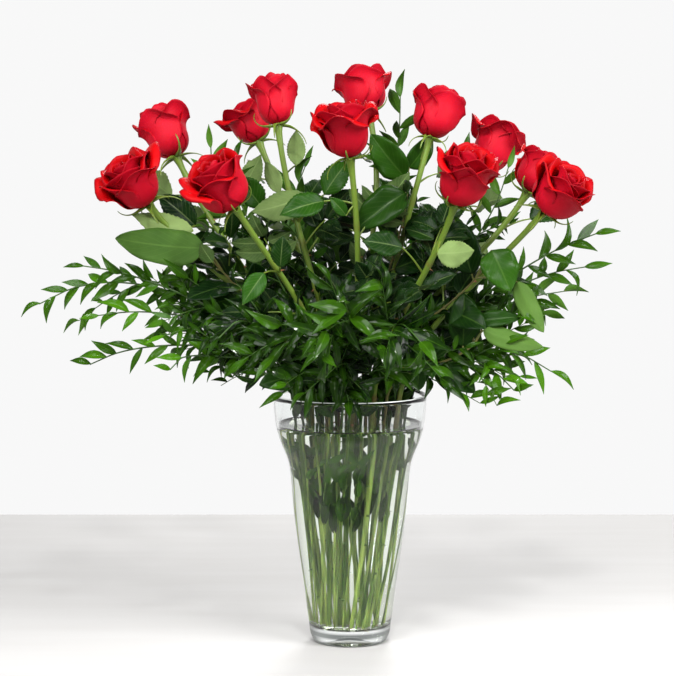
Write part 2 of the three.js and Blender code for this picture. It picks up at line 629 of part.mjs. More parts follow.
// One leaf of a ruscus spray. Leaves stand by turns above and below the stem, lean forward along it, hang a
// little and show a broad face outwards. turn is extra twist round the stem.
function ruscusLeaf(spray, number, turn, shrink) {
  const draw = (trait) => chance(spray.number, number, trait);
  const last = number === RUSCUS_PLACES - 1;
  const share = last ? RUSCUS_END : RUSCUS_BARE + ((1 - RUSCUS_BARE) * (number + 0.6)) / RUSCUS_PLACES;
  const { point, tangent } = alongStem(spray.points, share);
  const outwards = new THREE.Vector3(point.x, point.y, 0).normalize();
  const sky = Math.abs(tangent.z) > 0.8 ? outwards : new THREE.Vector3(0, 0, 1);
  const above = sky.clone().addScaledVector(tangent, -sky.dot(tangent)).normalize();
  const twist = (draw(21) - 0.5) * (1.1 + 2.6 * Math.abs(tangent.y)) + turn;
  const lateral = above.multiplyScalar(number % 2 === 0 ? 1 : -1).applyAxisAngle(tangent, twist);
  const spread = last ? 0.08 : 0.5 + 0.35 * draw(22);
  const run = tangent.clone().multiplyScalar(Math.cos(spread)).addScaledVector(lateral, Math.sin(spread));
  const taper = 0.66 + 0.34 * Math.sin(Math.PI * Math.min(1.25 - share, 0.7));
  const length = spray.leaf * taper * (0.85 + 0.3 * draw(23)) * shrink;
  const hang = length * (0.04 + 0.12 * draw(24));
  const tip = point.clone().addScaledVector(run, length);
  tip.z -= hang;
  const bend = point.clone().addScaledVector(run, length * 0.5);
  bend.z += hang * 0.5;
  const facing = point.y > 20 ? 0.9 : -0.9;
  const up = new THREE.Vector3(draw(25) - 0.5, facing, 0.5).addScaledVector(outwards, 0.3);
  return blade({
    base: point,
    bend,
    tip,
    up,
    width: length * RUSCUS_WIDTH * (0.9 + 0.25 * draw(26)),
    thickness: LEAF_THICKNESS,
    outline: RUSCUS_OUTLINE,
    cup: RUSCUS_CUP,
  });
}

// The large leaf hangs by a stalk from the nearest stem of its own kind.
function largeLeaf(leaf, host, shift) {
  const push = new THREE.Vector3(0, shift, 0);
  const base = vector(leaf.base).add(push);
  const tip = vector(leaf.tip).add(push);
  const facing = leaf.base[1] > 25 ? 1 : -1;
  const up = new THREE.Vector3(0, facing, 0.45).multiplyScalar(leaf.face);
  const arch = base.distanceTo(tip) * LARGE_LEAF_ARCH;
  return blade({
    root: host,
    base,
    bend: alongLine(base, tip, 0.5).addScaledVector(up, arch),
    tip,
    up,
    width: leaf.width,
    thickness: LEAF_THICKNESS,
    outline: leaf.kind === "rose" ? ROSE_OUTLINE : SALAL_OUTLINE,
    cup: LARGE_LEAF_CUP,
  });
}

function hostPoint(plants, kind, base) {
  const hanging = base.clone().add(new THREE.Vector3(0, 0, -STALK_DROP));
  let best = null;
  for (const plant of plants.filter((each) => each.kind === kind)) {
    for (const point of plant.points.slice(2, -1)) {
      const distance = point.distanceTo(hanging);
      if (best === null || distance < best.distance) {
        best = { plant, point, distance };
      }
    }
  }
  return best;
}

// ---------- Keeping pieces clear of each other ----------
const MEETING_SLACK = 0.05;
const placed = [];

function standClear(owner, solid) {
  const box = solid.boundingBox();
  const near = (other) => [0, 1, 2].every((axis) => {
    return box.min[axis] - 1 < other.box.max[axis] && other.box.min[axis] - 1 < box.max[axis];
  });
  return placed.every((other) => {
    return other.owner === owner || !near(other) || solid.minGap(other.solid, 1) > CLEARANCE - MEETING_SLACK;
  });
}

function put(owner, solid) {
  placed.push({ owner, solid, box: solid.boundingBox() });
}

// ---------- The whole bunch ----------
const FINISHES = {
  glass: { color: "#dfe9e8", roughness: 0.04, metalness: 0 },
  water: { color: "#dcebe6", roughness: 0.05, metalness: 0 },
  petal: { color: "#c01426", roughness: 0.6, metalness: 0 },
  rose: { color: "#3d6b2a", roughness: 0.5, metalness: 0 },
  ruscus: { color: "#3f8a2f", roughness: 0.35, metalness: 0 },
  salal: { color: "#4a6f35", roughness: 0.45, metalness: 0 },
};

function meshOf(name, solid, finish) {
  const { numProp, vertProperties, triVerts } = solid.getMesh();
  const positions = new Float32Array((vertProperties.length / numProp) * 3);
  for (let i = 0; i < positions.length / 3; i++) {
    positions.set(vertProperties.slice(i * numProp, i * numProp + 3), i * 3);
  }
  const geometry = new THREE.BufferGeometry();
  geometry.setAttribute("position", new THREE.BufferAttribute(positions, 3));
  geometry.setIndex(new THREE.BufferAttribute(new Uint32Array(triVerts), 1));
  const mesh = new THREE.Mesh(geometry, new THREE.MeshStandardMaterial(FINISHES[finish]));
  mesh.name = name;
  return mesh;
}

function buildBunch() {
  const group = new THREE.Group();
  const plants = growStems();
  const vase = vaseSolid();
  const water = waterSolid(plants);
  put("vase", vase);
  put("water", water);
  group.add(meshOf("vase", vase, "glass"), meshOf("water", water, "water"));

  const roses = plants.filter((plant) => plant.kind === "rose");
  for (const rose of roses) {
    const bloom = bloomSolid(rose);
    put(`bloom ${rose.number}`, bloom);
    group.add(meshOf(`rose_${twoDigits(rose.number)}_bloom`, bloom, "petal"));
  }
  for (const plant of plants) {
    const radii = plant.points.map((_, i) => plant.radius * (1 - STEM_TAPER * Math.max(i - 1, 0)));
    const stem = plant.kind === "rose" ? roseStemSolid(plant) : sweep(plant.points, radii, plant.sides);
    plant.solids = [stem];
    put(plant, plant.solids[0]);
  }
  const tryToAdd = (plant, solid) => {
    if (!standClear(plant, solid)) {
      return false;
    }
    plant.solids.push(solid);
    put(plant, solid);
    return true;
  };
  for (const rose of roses) {
    sepalSolids(rose).forEach((sepal) => tryToAdd(rose, sepal));
  }
  for (const leaf of LARGE_LEAVES) {
    const host = hostPoint(plants, leaf.kind, vector(leaf.base));
    DEPTH_SHIFTS.some((shift) => tryToAdd(host.plant, largeLeaf(leaf, host.point, shift)));
  }
  for (const spray of plants.filter((plant) => plant.kind === "ruscus")) {
    for (let number = RUSCUS_PLACES - 1; number >= 0; number--) {
      if (number % 4 === 1 || number % 4 === 2 || number === RUSCUS_PLACES - 1) {
        RUSCUS_TRIES.some(([turn, shrink]) => tryToAdd(spray, ruscusLeaf(spray, number, turn, shrink)));
      }
    }
  }
  for (const plant of plants) {
    const whole = plant.solids.reduce((sum, solid) => sum.add(solid));
    const suffix = plant.kind === "rose" ? "_stem" : "";
    group.add(meshOf(`${plant.kind}_${twoDigits(plant.number)}${suffix}`, whole, plant.kind));
  }
  return group;
}

const group = buildBunch();
export default group;
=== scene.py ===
# Roses in a vase: twelve open roses, sprays of ruscus and stems of salal, standing in water in a clear glass
# vase. The pieces come in the order in which the bunch is put together. Sizes are in millimetres.
import math

import bpy
import numpy as np
from mathutils import Matrix, Vector


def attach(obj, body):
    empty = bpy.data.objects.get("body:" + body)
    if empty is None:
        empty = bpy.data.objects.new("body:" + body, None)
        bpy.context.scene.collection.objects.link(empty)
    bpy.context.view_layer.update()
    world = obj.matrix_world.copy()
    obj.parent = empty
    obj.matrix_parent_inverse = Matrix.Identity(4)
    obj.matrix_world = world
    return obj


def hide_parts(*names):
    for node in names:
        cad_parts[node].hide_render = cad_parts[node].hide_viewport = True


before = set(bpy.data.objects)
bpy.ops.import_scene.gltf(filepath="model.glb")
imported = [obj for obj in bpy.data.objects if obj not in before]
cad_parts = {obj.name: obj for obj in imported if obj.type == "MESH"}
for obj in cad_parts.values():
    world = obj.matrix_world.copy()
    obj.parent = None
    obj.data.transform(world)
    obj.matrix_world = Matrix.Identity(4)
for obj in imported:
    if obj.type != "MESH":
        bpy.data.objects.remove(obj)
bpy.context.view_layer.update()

# ---------------------------------------------------------------------------------------------------------
# The vase. Clear glass pressed in one piece: a thick solid foot, tapering sides, a soft shoulder and a wide
# neck. The rim is fire polished, so it is round; its thin bright line is a painted highlight, a pale finish.
MM = 0.001
GLASS_OUTSIDE = (
    (39.6, 3.5), (42, 10), (43, 20), (45.3, 36), (47.2, 54), (49.6, 70), (52, 86), (54.3, 102), (56.6, 119),
    (58.6, 136), (60, 152), (61.2, 168), (63, 184), (66, 195), (69.3, 203), (72.6, 211), (75.4, 220),
    (77.3, 230), (78.7, 244), (79.5, 258.1),
)
GLASS_UNDERSIDE = (
    (0, 7), (10, 6.6), (18, 5.4), (25, 3.4), (30, 1.4), (33.5, 0.2), (35, 0), (37, 0.3), (38.6, 1.5),
)
GLASS_WALL = 3
RIM_HEIGHT = 259
RIM_ROUND = 0.9
THINNING = (150, 250)  # heights between which the wall thins towards the rim
FLOOR_INSIDE = ((40.4, 27), (39.2, 22), (36.6, 18.4), (32, 16.6), (24, 16.1), (0, 16))
OVER_FLOOR = 3  # from the floor's rounded corner up to where the plain inside wall begins
TURNED_SIDES = 128
PROFILE_STEPS = 3  # between two given points
RIM_STEPS = 9
# Painted shade: the upper and lower edges of the foot are painted dark, for the dark that the thick glass
# shows there by refraction
FOOT_MIDDLE = 6
TO_FOOT_EDGE = 5.5  # up and down from the middle
PAINTED_SHADE_HALF = 1.8  # of the height of each dark edge
PAINTED_SHADE_FADE = 3  # from there to clear glass
PAINTED_SHADE_GLASS = (0.12, 0.135, 0.128)
CLEAR_GLASS = (0.975, 0.99, 0.985)
RIM_PAINTED_HIGHLIGHT = (0.93, 0.97, 0.95)
GLASS_IOR = 1.5
GLASS_GLARE = (0.5, 0.5, 0.5)  # half, because the inner face lies against water


def rounded(points, steps):
    """More points along a smooth curve through the given ones."""
    ends = np.array(points, float)
    chain = np.concatenate([2 * ends[:1] - ends[1:2], ends, 2 * ends[-1:] - ends[-2:-1]])
    curve = []
    for a, b, c, d in zip(chain, chain[1:], chain[2:], chain[3:]):
        for t in np.arange(steps) / steps:
            curve.append(b + 0.5 * t * (c - a + t * (2 * a - 5 * b + 4 * c - d + t * (3 * (b - c) + d - a))))
    return np.array(curve + [ends[-1]])


def mesh_piece(name, points, faces):
    mesh = bpy.data.meshes.new(name)
    mesh.from_pydata([Vector(point) * MM for point in points], [], faces)
    mesh.shade_smooth()
    piece = bpy.data.objects.new(name, mesh)
    bpy.context.scene.collection.objects.link(piece)
    return piece


def turned(name, profile):
    """Spins a profile that runs from the axis underneath, up the outside and back to the axis."""
    points = [(0, 0, profile[0][1])]
    faces = []
    for radius, height in profile[1:-1]:
        for side in range(TURNED_SIDES):
            angle = 2 * math.pi * side / TURNED_SIDES
            points.append((radius * math.cos(angle), radius * math.sin(angle), height))
    points.append((0, 0, profile[-1][1]))
    last = len(points) - 1 - TURNED_SIDES
    for side in range(TURNED_SIDES):
        following = (side + 1) % TURNED_SIDES
        faces.append((0, 1 + following, 1 + side))
        for start in range(1, last, TURNED_SIDES):
            upper = start + TURNED_SIDES
            faces.append((start + side, start + following, upper + following, upper + side))
        faces.append((len(points) - 1, last + side, last + following))
    return mesh_piece(name, points, faces)


class Finish:
    """A material under construction: its nodes, and short ways to add and join them."""

    def __init__(self, name):
        self.material = bpy.data.materials.new(name)
        self.material.use_nodes = True
        self.nodes = self.material.node_tree.nodes
        self.shader = self.nodes["Principled BSDF"]

    def put(self, socket, value):
        """Links a socket to another one, or gives it a number or a colour."""
        if isinstance(value, bpy.types.NodeSocket):
            self.material.node_tree.links.new(value, socket)
        elif hasattr(socket.default_value, "__len__") and len(value) < len(socket.default_value):
            socket.default_value = (*value, 1)
        else:
            socket.default_value = value

    def shade(self, **values):
        for label, value in values.items():
            self.put(self.shader.inputs[label.replace("_", " ")], value)

    def place(self, stretch=(1, 1, 1)):
        """Places on the object, drawn out or squeezed."""
        place = self.nodes.new("ShaderNodeTexCoord")
        mapping = self.nodes.new("ShaderNodeMapping")
        self.put(mapping.inputs["Scale"], stretch)
        self.put(mapping.inputs["Vector"], place.outputs["Object"])
        return mapping.outputs["Vector"]

    def height(self):
        """The height on the object."""
        split = self.nodes.new("ShaderNodeSeparateXYZ")
        self.put(split.inputs[0], self.place())
        return split.outputs["Z"]

    def noise(self, vector, scale, detail):
        noise = self.nodes.new("ShaderNodeTexNoise")
        self.put(noise.inputs["Vector"], vector)
        self.put(noise.inputs["Scale"], scale)
        self.put(noise.inputs["Detail"], detail)
        return noise.outputs["Fac"]

    def mark(self, label):
        attribute = self.nodes.new("ShaderNodeAttribute")
        attribute.attribute_name = label
        return attribute.outputs["Fac"]

    def sum_of(self, operation, *values, clamp=False):
        maths = self.nodes.new("ShaderNodeMath")
        maths.operation = operation
        maths.use_clamp = clamp
        for socket, value in zip(maths.inputs, values):
            self.put(socket, value)
        return maths.outputs[0]

    def mix(self, factor, a, b):
        mix = self.nodes.new("ShaderNodeMix")
        mix.data_type = "RGBA"
        for label, value in (("Factor", factor), ("A", a), ("B", b)):
            self.put(next(socket for socket in mix.inputs if socket.name == label and socket.enabled), value)
        return next(socket for socket in mix.outputs if socket.enabled)

    def bumps(self, height, strength, distance):
        bump = self.nodes.new("ShaderNodeBump")
        self.put(bump.inputs["Strength"], strength)
        self.put(bump.inputs["Distance"], distance)
        self.put(bump.inputs["Height"], height)
        self.put(self.shader.inputs["Normal"], bump.outputs["Normal"])


def glass_finish():
    glass = Finish("clear glass")
    off_middle = glass.sum_of("ABSOLUTE", glass.sum_of("SUBTRACT", glass.height(), FOOT_MIDDLE * MM))
    off_edge = glass.sum_of("ABSOLUTE", glass.sum_of("SUBTRACT", off_middle, TO_FOOT_EDGE * MM))
    # Painted shade: dark bands at the upper and lower edges of the foot, mixed into the glass's colour
    clear = glass.sum_of("MULTIPLY_ADD", off_edge, 1 / (PAINTED_SHADE_FADE * MM), -PAINTED_SHADE_HALF / PAINTED_SHADE_FADE, clamp=True)
    glass.shade(Base_Color=glass.mix(clear, PAINTED_SHADE_GLASS, CLEAR_GLASS))
    glass.shade(Roughness=0, IOR=GLASS_IOR, Transmission_Weight=1, Specular_Tint=GLASS_GLARE)
    ripples = glass.noise(glass.place(stretch=(1, 1, 0.25)), scale=22, detail=1)
    glass.bumps(ripples, strength=0.1, distance=0.002)
    return glass.material


def rim_painted_highlight_finish():
    """The fire-polished edge, given a pale, nearly opaque finish: a painted highlight that shows as a bright
    line.
    """
    edge = Finish("glass rim with painted highlight")
    edge.shade(Base_Color=RIM_PAINTED_HIGHLIGHT, Roughness=0.12, IOR=GLASS_IOR, Transmission_Weight=0.1)
    return edge.material


outside = rounded(GLASS_OUTSIDE, PROFILE_STEPS)
rim_radius = GLASS_OUTSIDE[-1][0]
rim = [
    (rim_radius + RIM_ROUND * (math.cos(turn) - 1), RIM_HEIGHT + RIM_ROUND * (math.sin(turn) - 1))
    for turn in np.linspace(0, math.pi, RIM_STEPS)[1:]
]
inside = [
    (radius - np.interp(height, THINNING, (GLASS_WALL, 2 * RIM_ROUND)), height)
    for radius, height in outside[::-1] if height > FLOOR_INSIDE[0][1] + OVER_FLOOR
]
floor = rounded(FLOOR_INSIDE, PROFILE_STEPS)
vase = turned("glass_vase", [*GLASS_UNDERSIDE, *outside, *rim, *inside, *floor])
vase.data.materials.append(glass_finish())
vase.data.materials.append(rim_painted_highlight_finish())
for face in vase.data.polygons:
    face.material_index = int(face.center.z > (RIM_HEIGHT - RIM_ROUND) * MM)
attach(vase, "root")
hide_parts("vase")

# ---------------------------------------------------------------------------------------------------------
# The water. It fills the vase to just under the flare, and creeps up the glass a little where it meets it.
WATER_LEVEL = 226
WETTED = 0.2  # how far the water's skin lies inside the glass, so that no air shows between them
CREEP = ((0, 2.4), (0.7, 1.2), (2, 0.4), (4.5, 0))  # in from the glass, and up from the level
WATER_TINT = (0.955, 0.985, 0.89)
WATER_IOR = 1.333
WATER_GLARE = (0.1, 0.1, 0.1)  # hardly any, against the glass


def water_finish():
    clear = Finish("water")
    clear.shade(Base_Color=WATER_TINT, Roughness=0, IOR=WATER_IOR, Transmission_Weight=1)
    clear.shade(Specular_Tint=WATER_GLARE)
    clear.bumps(clear.noise(clear.place(), scale=14, detail=2), strength=0.05, distance=0.001)
    return clear.material


def room_at(height):
    """The inner radius of the vase."""
    return np.interp(height, [at[1] for at in inside[::-1]], [at[0] for at in inside[::-1]])


wetted_wall = [(radius + WETTED, height) for radius, height in inside[::-1] if height < WATER_LEVEL - 1]
surface = [(room_at(WATER_LEVEL) - back + WETTED, WATER_LEVEL + up) for back, up in CREEP]
bottom = [(max(radius + WETTED, 0), height - WETTED) for radius, height in floor[::-1]]
bottom[0] = (0, bottom[0][1])
water = turned("vase_water", [*bottom, *wetted_wall, *surface, (0, WATER_LEVEL)])
water.data.materials.append(water_finish())
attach(water, "root")
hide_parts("water")

# ---------------------------------------------------------------------------------------------------------
# Where the stems run. Each stem stands on the floor of the vase, crosses the water nearly straight, passes
# the rim on the side it is bound for and bends out to its bloom or tip. Their places at the rim ease apart.
SEED = 11
NECK_REACH = 61  # from the vase's axis to the outermost stem at the rim
NECK_SPACING = 14
EASING_ROUNDS = 80
LONGEST_REACH = 350  # out to the tip of a stem that passes the rim at that distance
INWARD_EASE = 0.6  # under 1, so that stems with a short reach don't crowd the middle
FOOT_SCALE = 0.52
FOOT_TWIST = 0.7
FOOT_HEIGHT = 17.1
STEM_STEPS = 6
LIFT_SHARE = 0.3  # of the reach, for which a stem keeps its direction past the rim
HOLD_SHARE = 0.4  # of the reach, for which a rose's stem runs along its bloom's axis
VIA_SPAN = (0.4, 0.75)  # shares of its curve between which a stem passes its via point
BOW_WAYS = 8  # in which a stem that comes too close to another is bowed, before it is bowed by a step more
BOW_TURN = 0.785  # between two of these ways
BOW_STEP = 5
BOW_TRIALS = 33
BOW_RISE = 0.4  # of a bow, upwards
ROOM_WANTED = 1.5  # between two stems
TINY = 1e-9
BLOOM_MIDDLE = 0.55  # of the height of a bloom
BLOOM_MARGIN = 2
LAST_LEAF_BACK = 0.75  # of a spray's longest leaf, from the last leaf's tip back to the end of the stem
ROSE_STEM_RADIUS = 2.7
RUSCUS_STEM_RADIUS = 1.4
SALAL_STEM_RADIUS = 1.7

# Each rose: the seat of the bloom on its hip, the top of its axis, half its width, and how open it is
ROSES = (
    ((-205, -30, 457), (-236, -50, 501), 31, 0.8),
    ((-183, 60, 504), (-208, 75, 557), 29, 0.35),
    ((-114, -95, 456), (-142, -118, 502), 33, 0.45),
    ((-97, 70, 520), (-115, 78, 561), 27, 0.75),
    ((-74, 0, 537), (-80, 14, 589), 24, 0.3),
    ((0, -70, 504), (-8, -78, 562), 30, 0.75),
    ((20, 95, 551), (9, 112, 598), 30, 0.6),
    ((83, 20, 524), (98, 34, 577), 29, 0.4),
    ((104, -90, 459), (121, -112, 515), 31, 0.5),
    ((142, 75, 491), (167, 92, 540), 28, 0.6),
    ((182, -5, 468), (207, 0, 509), 29, 0.4),
    ((194, -70, 451), (224, -92, 490), 32, 0.5),
)
# Each ruscus spray: a point that its stem passes, the tip of its last leaf, and its longest leaf's length
RUSCUS = (
    ((-228, 0, 374), (-335, -15, 356), 44), ((-205, -30, 378), (-283, -30, 398), 36),
    ((-188, -20, 344), (-270, -40, 346), 42), ((-180, -25, 312), (-280, -30, 294), 40),
    ((-150, -60, 305), (-197, -85, 298), 40), ((-130, 40, 443), (-152, 50, 524), 34),
    ((-108, -15, 448), (-122, -8, 512), 30), ((-56, 35, 436), (-50, 50, 505), 34),
    ((44, 55, 458), (55, 68, 578), 32), ((98, -20, 440), (120, -28, 512), 30),
    ((134, 20, 424), (172, 40, 502), 32), ((190, -20, 398), (262, -32, 434), 42),
    ((182, 10, 374), (256, 10, 396), 40), ((168, 40, 350), (240, 60, 366), 40),
    ((148, -20, 306), (222, -30, 286), 44), ((118, -52, 290), (182, -76, 274), 40),
    ((0, -104, 336), (-5, -186, 376), 52), ((44, -106, 340), (76, -172, 332), 52),
    ((-48, -100, 330), (-82, -150, 316), 46), ((-12, -82, 296), (-20, -112, 266), 44),
    ((-98, -80, 340), (-144, -112, 334), 42), ((-140, 70, 360), (-215, 120, 400), 42),
    ((-90, 120, 350), (-140, 195, 350), 42), ((-40, 120, 390), (-60, 180, 440), 42),
    ((20, 125, 350), (30, 205, 350), 44), ((70, 120, 390), (100, 185, 430), 42),
    ((110, 100, 340), (170, 160, 345), 42),
)
# Each salal stem: a point it passes and its tip
SALAL = (
    ((-104, -22, 362), (-146, -38, 410)), ((48, 0, 400), (60, 10, 484)), ((112, -42, 366), (142, -56, 410)),
    ((100, -52, 300), (133, -60, 334)), ((-28, -58, 286), (-44, -72, 290)),
    ((-10, 100, 370), (-20, 140, 450)),
)


def chance(plant, part, trait):
    """A repeatable draw from 0 to 1 for one trait of one part of one plant."""
    wave = math.sin(SEED * 4.71 + plant * 12.9898 + part * 78.233 + trait * 37.719) * 43758.5453
    return wave - math.floor(wave)


def unit(direction):
    return np.asarray(direction, float) / np.linalg.norm(direction)


def neck_places(tips):
    """Where the stems pass the rim: each on the side of its tip, and all eased apart."""
    places = []
    for tip in tips:
        reach = max(math.hypot(tip[0], tip[1]), 1)
        radius = NECK_REACH * min(reach / LONGEST_REACH, 1) ** INWARD_EASE
        places.append(np.array([tip[0] / reach * radius, tip[1] / reach * radius]))
    for _ in range(EASING_ROUNDS):
        for i in range(len(places)):
            for j in range(i + 1, len(places)):
                apart = places[j] - places[i]
                distance = math.hypot(*apart)
                push = (NECK_SPACING - distance) / 2
                if push > 0:
                    places[i] = places[i] - apart / distance * push
                    places[j] = places[j] + apart / distance * push
        places = [place * min(NECK_REACH / math.hypot(*place), 1) for place in places]
    return [np.array([*place, RIM_HEIGHT]) for place in places]


def foot_place(neck):
    """The stems draw together on their way down, and all turn a little about the vase's axis."""
    turn = -FOOT_TWIST
    x = FOOT_SCALE * (neck[0] * math.cos(turn) - neck[1] * math.sin(turn))
    y = FOOT_SCALE * (neck[0] * math.sin(turn) + neck[1] * math.cos(turn))
    return np.array([x, y, FOOT_HEIGHT])


def stretch_gaps(a, b, starts, ends):
    """Shortest distances from the straight stretch a to b to many others."""
    u = b - a
    v = ends - starts
    w = a - starts
    uu = u @ u
    vv = np.sum(v * v, axis=1)
    uv = v @ u
    uw = w @ u
    vw = np.sum(v * w, axis=1)
    spread = uu * vv - uv * uv
    s = np.where(spread > TINY, np.clip((uv * vw - vv * uw) / np.maximum(spread, TINY), 0, 1), 0)
    t = np.where(vv > TINY, np.clip((uv * s + vw) / np.maximum(vv, TINY), 0, 1), 0)
    s = np.clip((uv * t - uw) / max(uu, TINY), 0, 1)
    return np.linalg.norm(a + s[:, None] * u - starts - t[:, None] * v, axis=1)


def hold_through(neck, lift, via, tip):
    """The last pull on a stem's curve that makes it pass the via point."""
    before = np.linalg.norm(via - neck)
    t = min(max(before / (before + np.linalg.norm(via - tip)), VIA_SPAN[0]), VIA_SPAN[1])
    rest = (1 - t) ** 3 * neck + 3 * t * (1 - t) ** 2 * lift + t ** 3 * tip
    return (via - rest) / (3 * t * t * (1 - t))


def bent(pulls, steps):
    """Points along a stem's curve from the rim to its tip."""
    t = np.linspace(0, 1, steps + 1)[:, None]
    neck, lift, hold, tip = pulls
    return (1 - t) ** 3 * neck + 3 * t * (1 - t) ** 2 * lift + 3 * t * t * (1 - t) * hold + t ** 3 * tip


def clear_pulls(pulls, radius, starts, ends, girths):
    """A stem that would touch another one is bowed a little to one side, then a little more."""
    best_room = -math.inf
    for trials in range(BOW_TRIALS):
        bow = BOW_STEP * math.ceil(trials / BOW_WAYS)
        way = bow * np.array([math.cos(trials * BOW_TURN), math.sin(trials * BOW_TURN), BOW_RISE])
        trial = (pulls[0], pulls[1] + way, pulls[2] + way, pulls[3])
        line = bent(trial, STEM_STEPS)
        gaps = [np.min(stretch_gaps(a, b, starts, ends) - girths) for a, b in zip(line, line[1:])]
        room = min(gaps) - radius
        if room > best_room:
            best_room = room
            best = trial
        if room > ROOM_WANTED:
            break
    return best


def grown_stems():
    """All the plants, each with its foot and with the four pulls that draw its curve over the rim."""
    plants = []
    for number, (seat, top, radius, opened) in enumerate(ROSES, 1):
        rise = np.subtract(top, seat)
        plants.append({
            "kind": "rose", "number": number, "girth": ROSE_STEM_RADIUS, "tip": np.array(seat, float),
            "axis": unit(rise), "height": np.linalg.norm(rise), "spread": radius, "opened": opened,
        })
    for number, (via, tip) in enumerate(SALAL, 1):
        plants.append({
            "kind": "salal", "number": number, "girth": SALAL_STEM_RADIUS, "tip": np.array(tip, float),
            "via": np.array(via, float),
        })
    for number, (via, tip, leaf) in enumerate(RUSCUS, 1):
        back = unit(np.subtract(via, tip)) * LAST_LEAF_BACK * leaf
        plants.append({
            "kind": "ruscus", "number": number, "girth": RUSCUS_STEM_RADIUS, "tip": np.array(tip) + back,
            "via": np.array(via, float), "leaf": leaf,
        })
    blooms = [plant for plant in plants if plant["kind"] == "rose"]
    middles = [rose["tip"] + rose["axis"] * rose["height"] * BLOOM_MIDDLE for rose in blooms]
    starts = list(middles)
    ends = list(middles)
    girths = [rose["spread"] + BLOOM_MARGIN for rose in blooms]
    owners = [rose["number"] for rose in blooms]
    for plant, neck in zip(plants, neck_places([plant["tip"] for plant in plants])):
        foot = foot_place(neck)
        reach = np.linalg.norm(plant["tip"] - neck)
        lift = neck + unit(neck - foot) * reach * LIFT_SHARE
        if plant["kind"] == "rose":
            hold = plant["tip"] - HOLD_SHARE * reach * plant["axis"]
        else:
            hold = hold_through(neck, lift, plant["via"], plant["tip"])
        own = plant["number"] if plant["kind"] == "rose" else None
        others = [k for k, owner in enumerate(owners) if own is None or owner != own]
        taken = [np.array([given[k] for k in others]) for given in (starts, ends, girths)]
        pulls = clear_pulls((neck, lift, hold, plant["tip"]), plant["girth"], *taken)
        plant["foot"] = foot
        plant["pulls"] = pulls
        line = bent(pulls, STEM_STEPS)
        starts.extend(line[:-1])
        ends.extend(line[1:])
        girths.extend([plant["girth"]] * STEM_STEPS)
        owners.extend([None] * STEM_STEPS)
    return plants


plants = grown_stems()
roses, salals, sprays = (
    [plant for plant in plants if plant["kind"] == kind] for kind in ("rose", "salal", "ruscus"))

# ---------------------------------------------------------------------------------------------------------
# The rose stems. Each is a straight green cane with darker joints and a few thorns. It is cut off in the
# water, and widens into a hip under the bloom.
ROSE_STEM_SIDES = 12
ROSE_CANE_STEPS = 40  # over the rim
STEPS_IN_WATER = 8
STEM_BOW = 5  # the most by which a stem leaves the straight line in the water
CUT_END_GIRTH = 0.68  # of the full girth
ROSE_STEM_GAIN = 0.12  # of the girth, from the rim to the tip: the flowering end is the thicker
HIP_SWELL = 2.6
HIP_DEPTH = 1  # middle of the swelling, down from the seat of the bloom
HIP_SPAN = 6.5
JOINT_SPACING = 52
JOINT_SHIFT = 20  # the most by which the joints of one stem lie lower than another's
JOINT_SWELL = 0.55
JOINT_SPAN = 3
JOINTS_FROM = 25  # from the tip
THORN_SPACING = 31
THORN_SIZE = (5.2, 3.4, 1.9)
THORN_SIDES = 6
# Each ring of a thorn: out from the stem, along it, and its share of the foot
THORN_RINGS = ((0, 0, 1), (0.12, 0.04, 0.62), (0.4, 0.1, 0.3), (0.75, -0.02, 0.12))
THORN_POINT = (1, 0, -0.28)
THORN_SUNK = 0.8  # of the stem's girth, at which a thorn begins
BARK_GRAIN = 260
CUT_HEIGHT = FOOT_HEIGHT + 1.2
CUT_PITH = (0.72, 0.76, 0.5)
# The darker under-water green: stems and streaks reach it at random, and painted shade from the bunch
# darkens the upper water towards it
WET_DARK_AND_PAINTED_SHADE = (0.085, 0.185, 0.014)
YOUNG_TONE = 0.15  # 0 is the freshest green bark and 1 the oldest
STALK_TONE = 0.3


class Shoots:
    """The lines that a plant's stems and stalks follow, and the seats of what grows on them."""

    def __init__(self):
        self.points = []
        self.edges = []
        self.girth = []
        self.tone = []
        self.seat = []
        self.turn = []
        self.size = []

    def add_point(self, point, girth=0, tone=0.5, seat=False, turn=(0, 0, 0), size=(1, 1, 1)):
        self.points.append(Vector(point) * MM)
        self.girth.append(girth * MM)
        self.tone.append(tone)
        self.seat.append(seat)
        self.turn.append(turn)
        self.size.append(size)

    def add_line(self, line, girths, tones):
        first = len(self.points)
        for point, girth, tone in zip(line, girths, tones):
            self.add_point(point, girth, tone)
        self.edges.extend((k, k + 1) for k in range(first, first + len(line) - 1))

    def add_seat(self, point, run, normal, size, tone):
        """run is the way that the part grows, and normal the way that its upper face looks."""
        x = Vector(run).normalized()
        y = Vector(normal).cross(x).normalized()
        turn = Matrix((x, y, x.cross(y))).transposed().to_euler()
        self.add_point(point, 0, tone, True, turn[:], size)

    def mesh(self, name):
        mesh = bpy.data.meshes.new(name)
        mesh.from_pydata(self.points, self.edges, [])
        for label, kind, field, values in (
            ("girth", "FLOAT", "value", self.girth), ("tone", "FLOAT", "value", self.tone),
            ("seat", "BOOLEAN", "value", self.seat), ("turn", "FLOAT_VECTOR", "vector", self.turn),
            ("size", "FLOAT_VECTOR", "vector", self.size),
        ):
            attribute = mesh.attributes.new(label, kind, "POINT")
            attribute.data.foreach_set(field, np.array(values).reshape(-1))
        return mesh


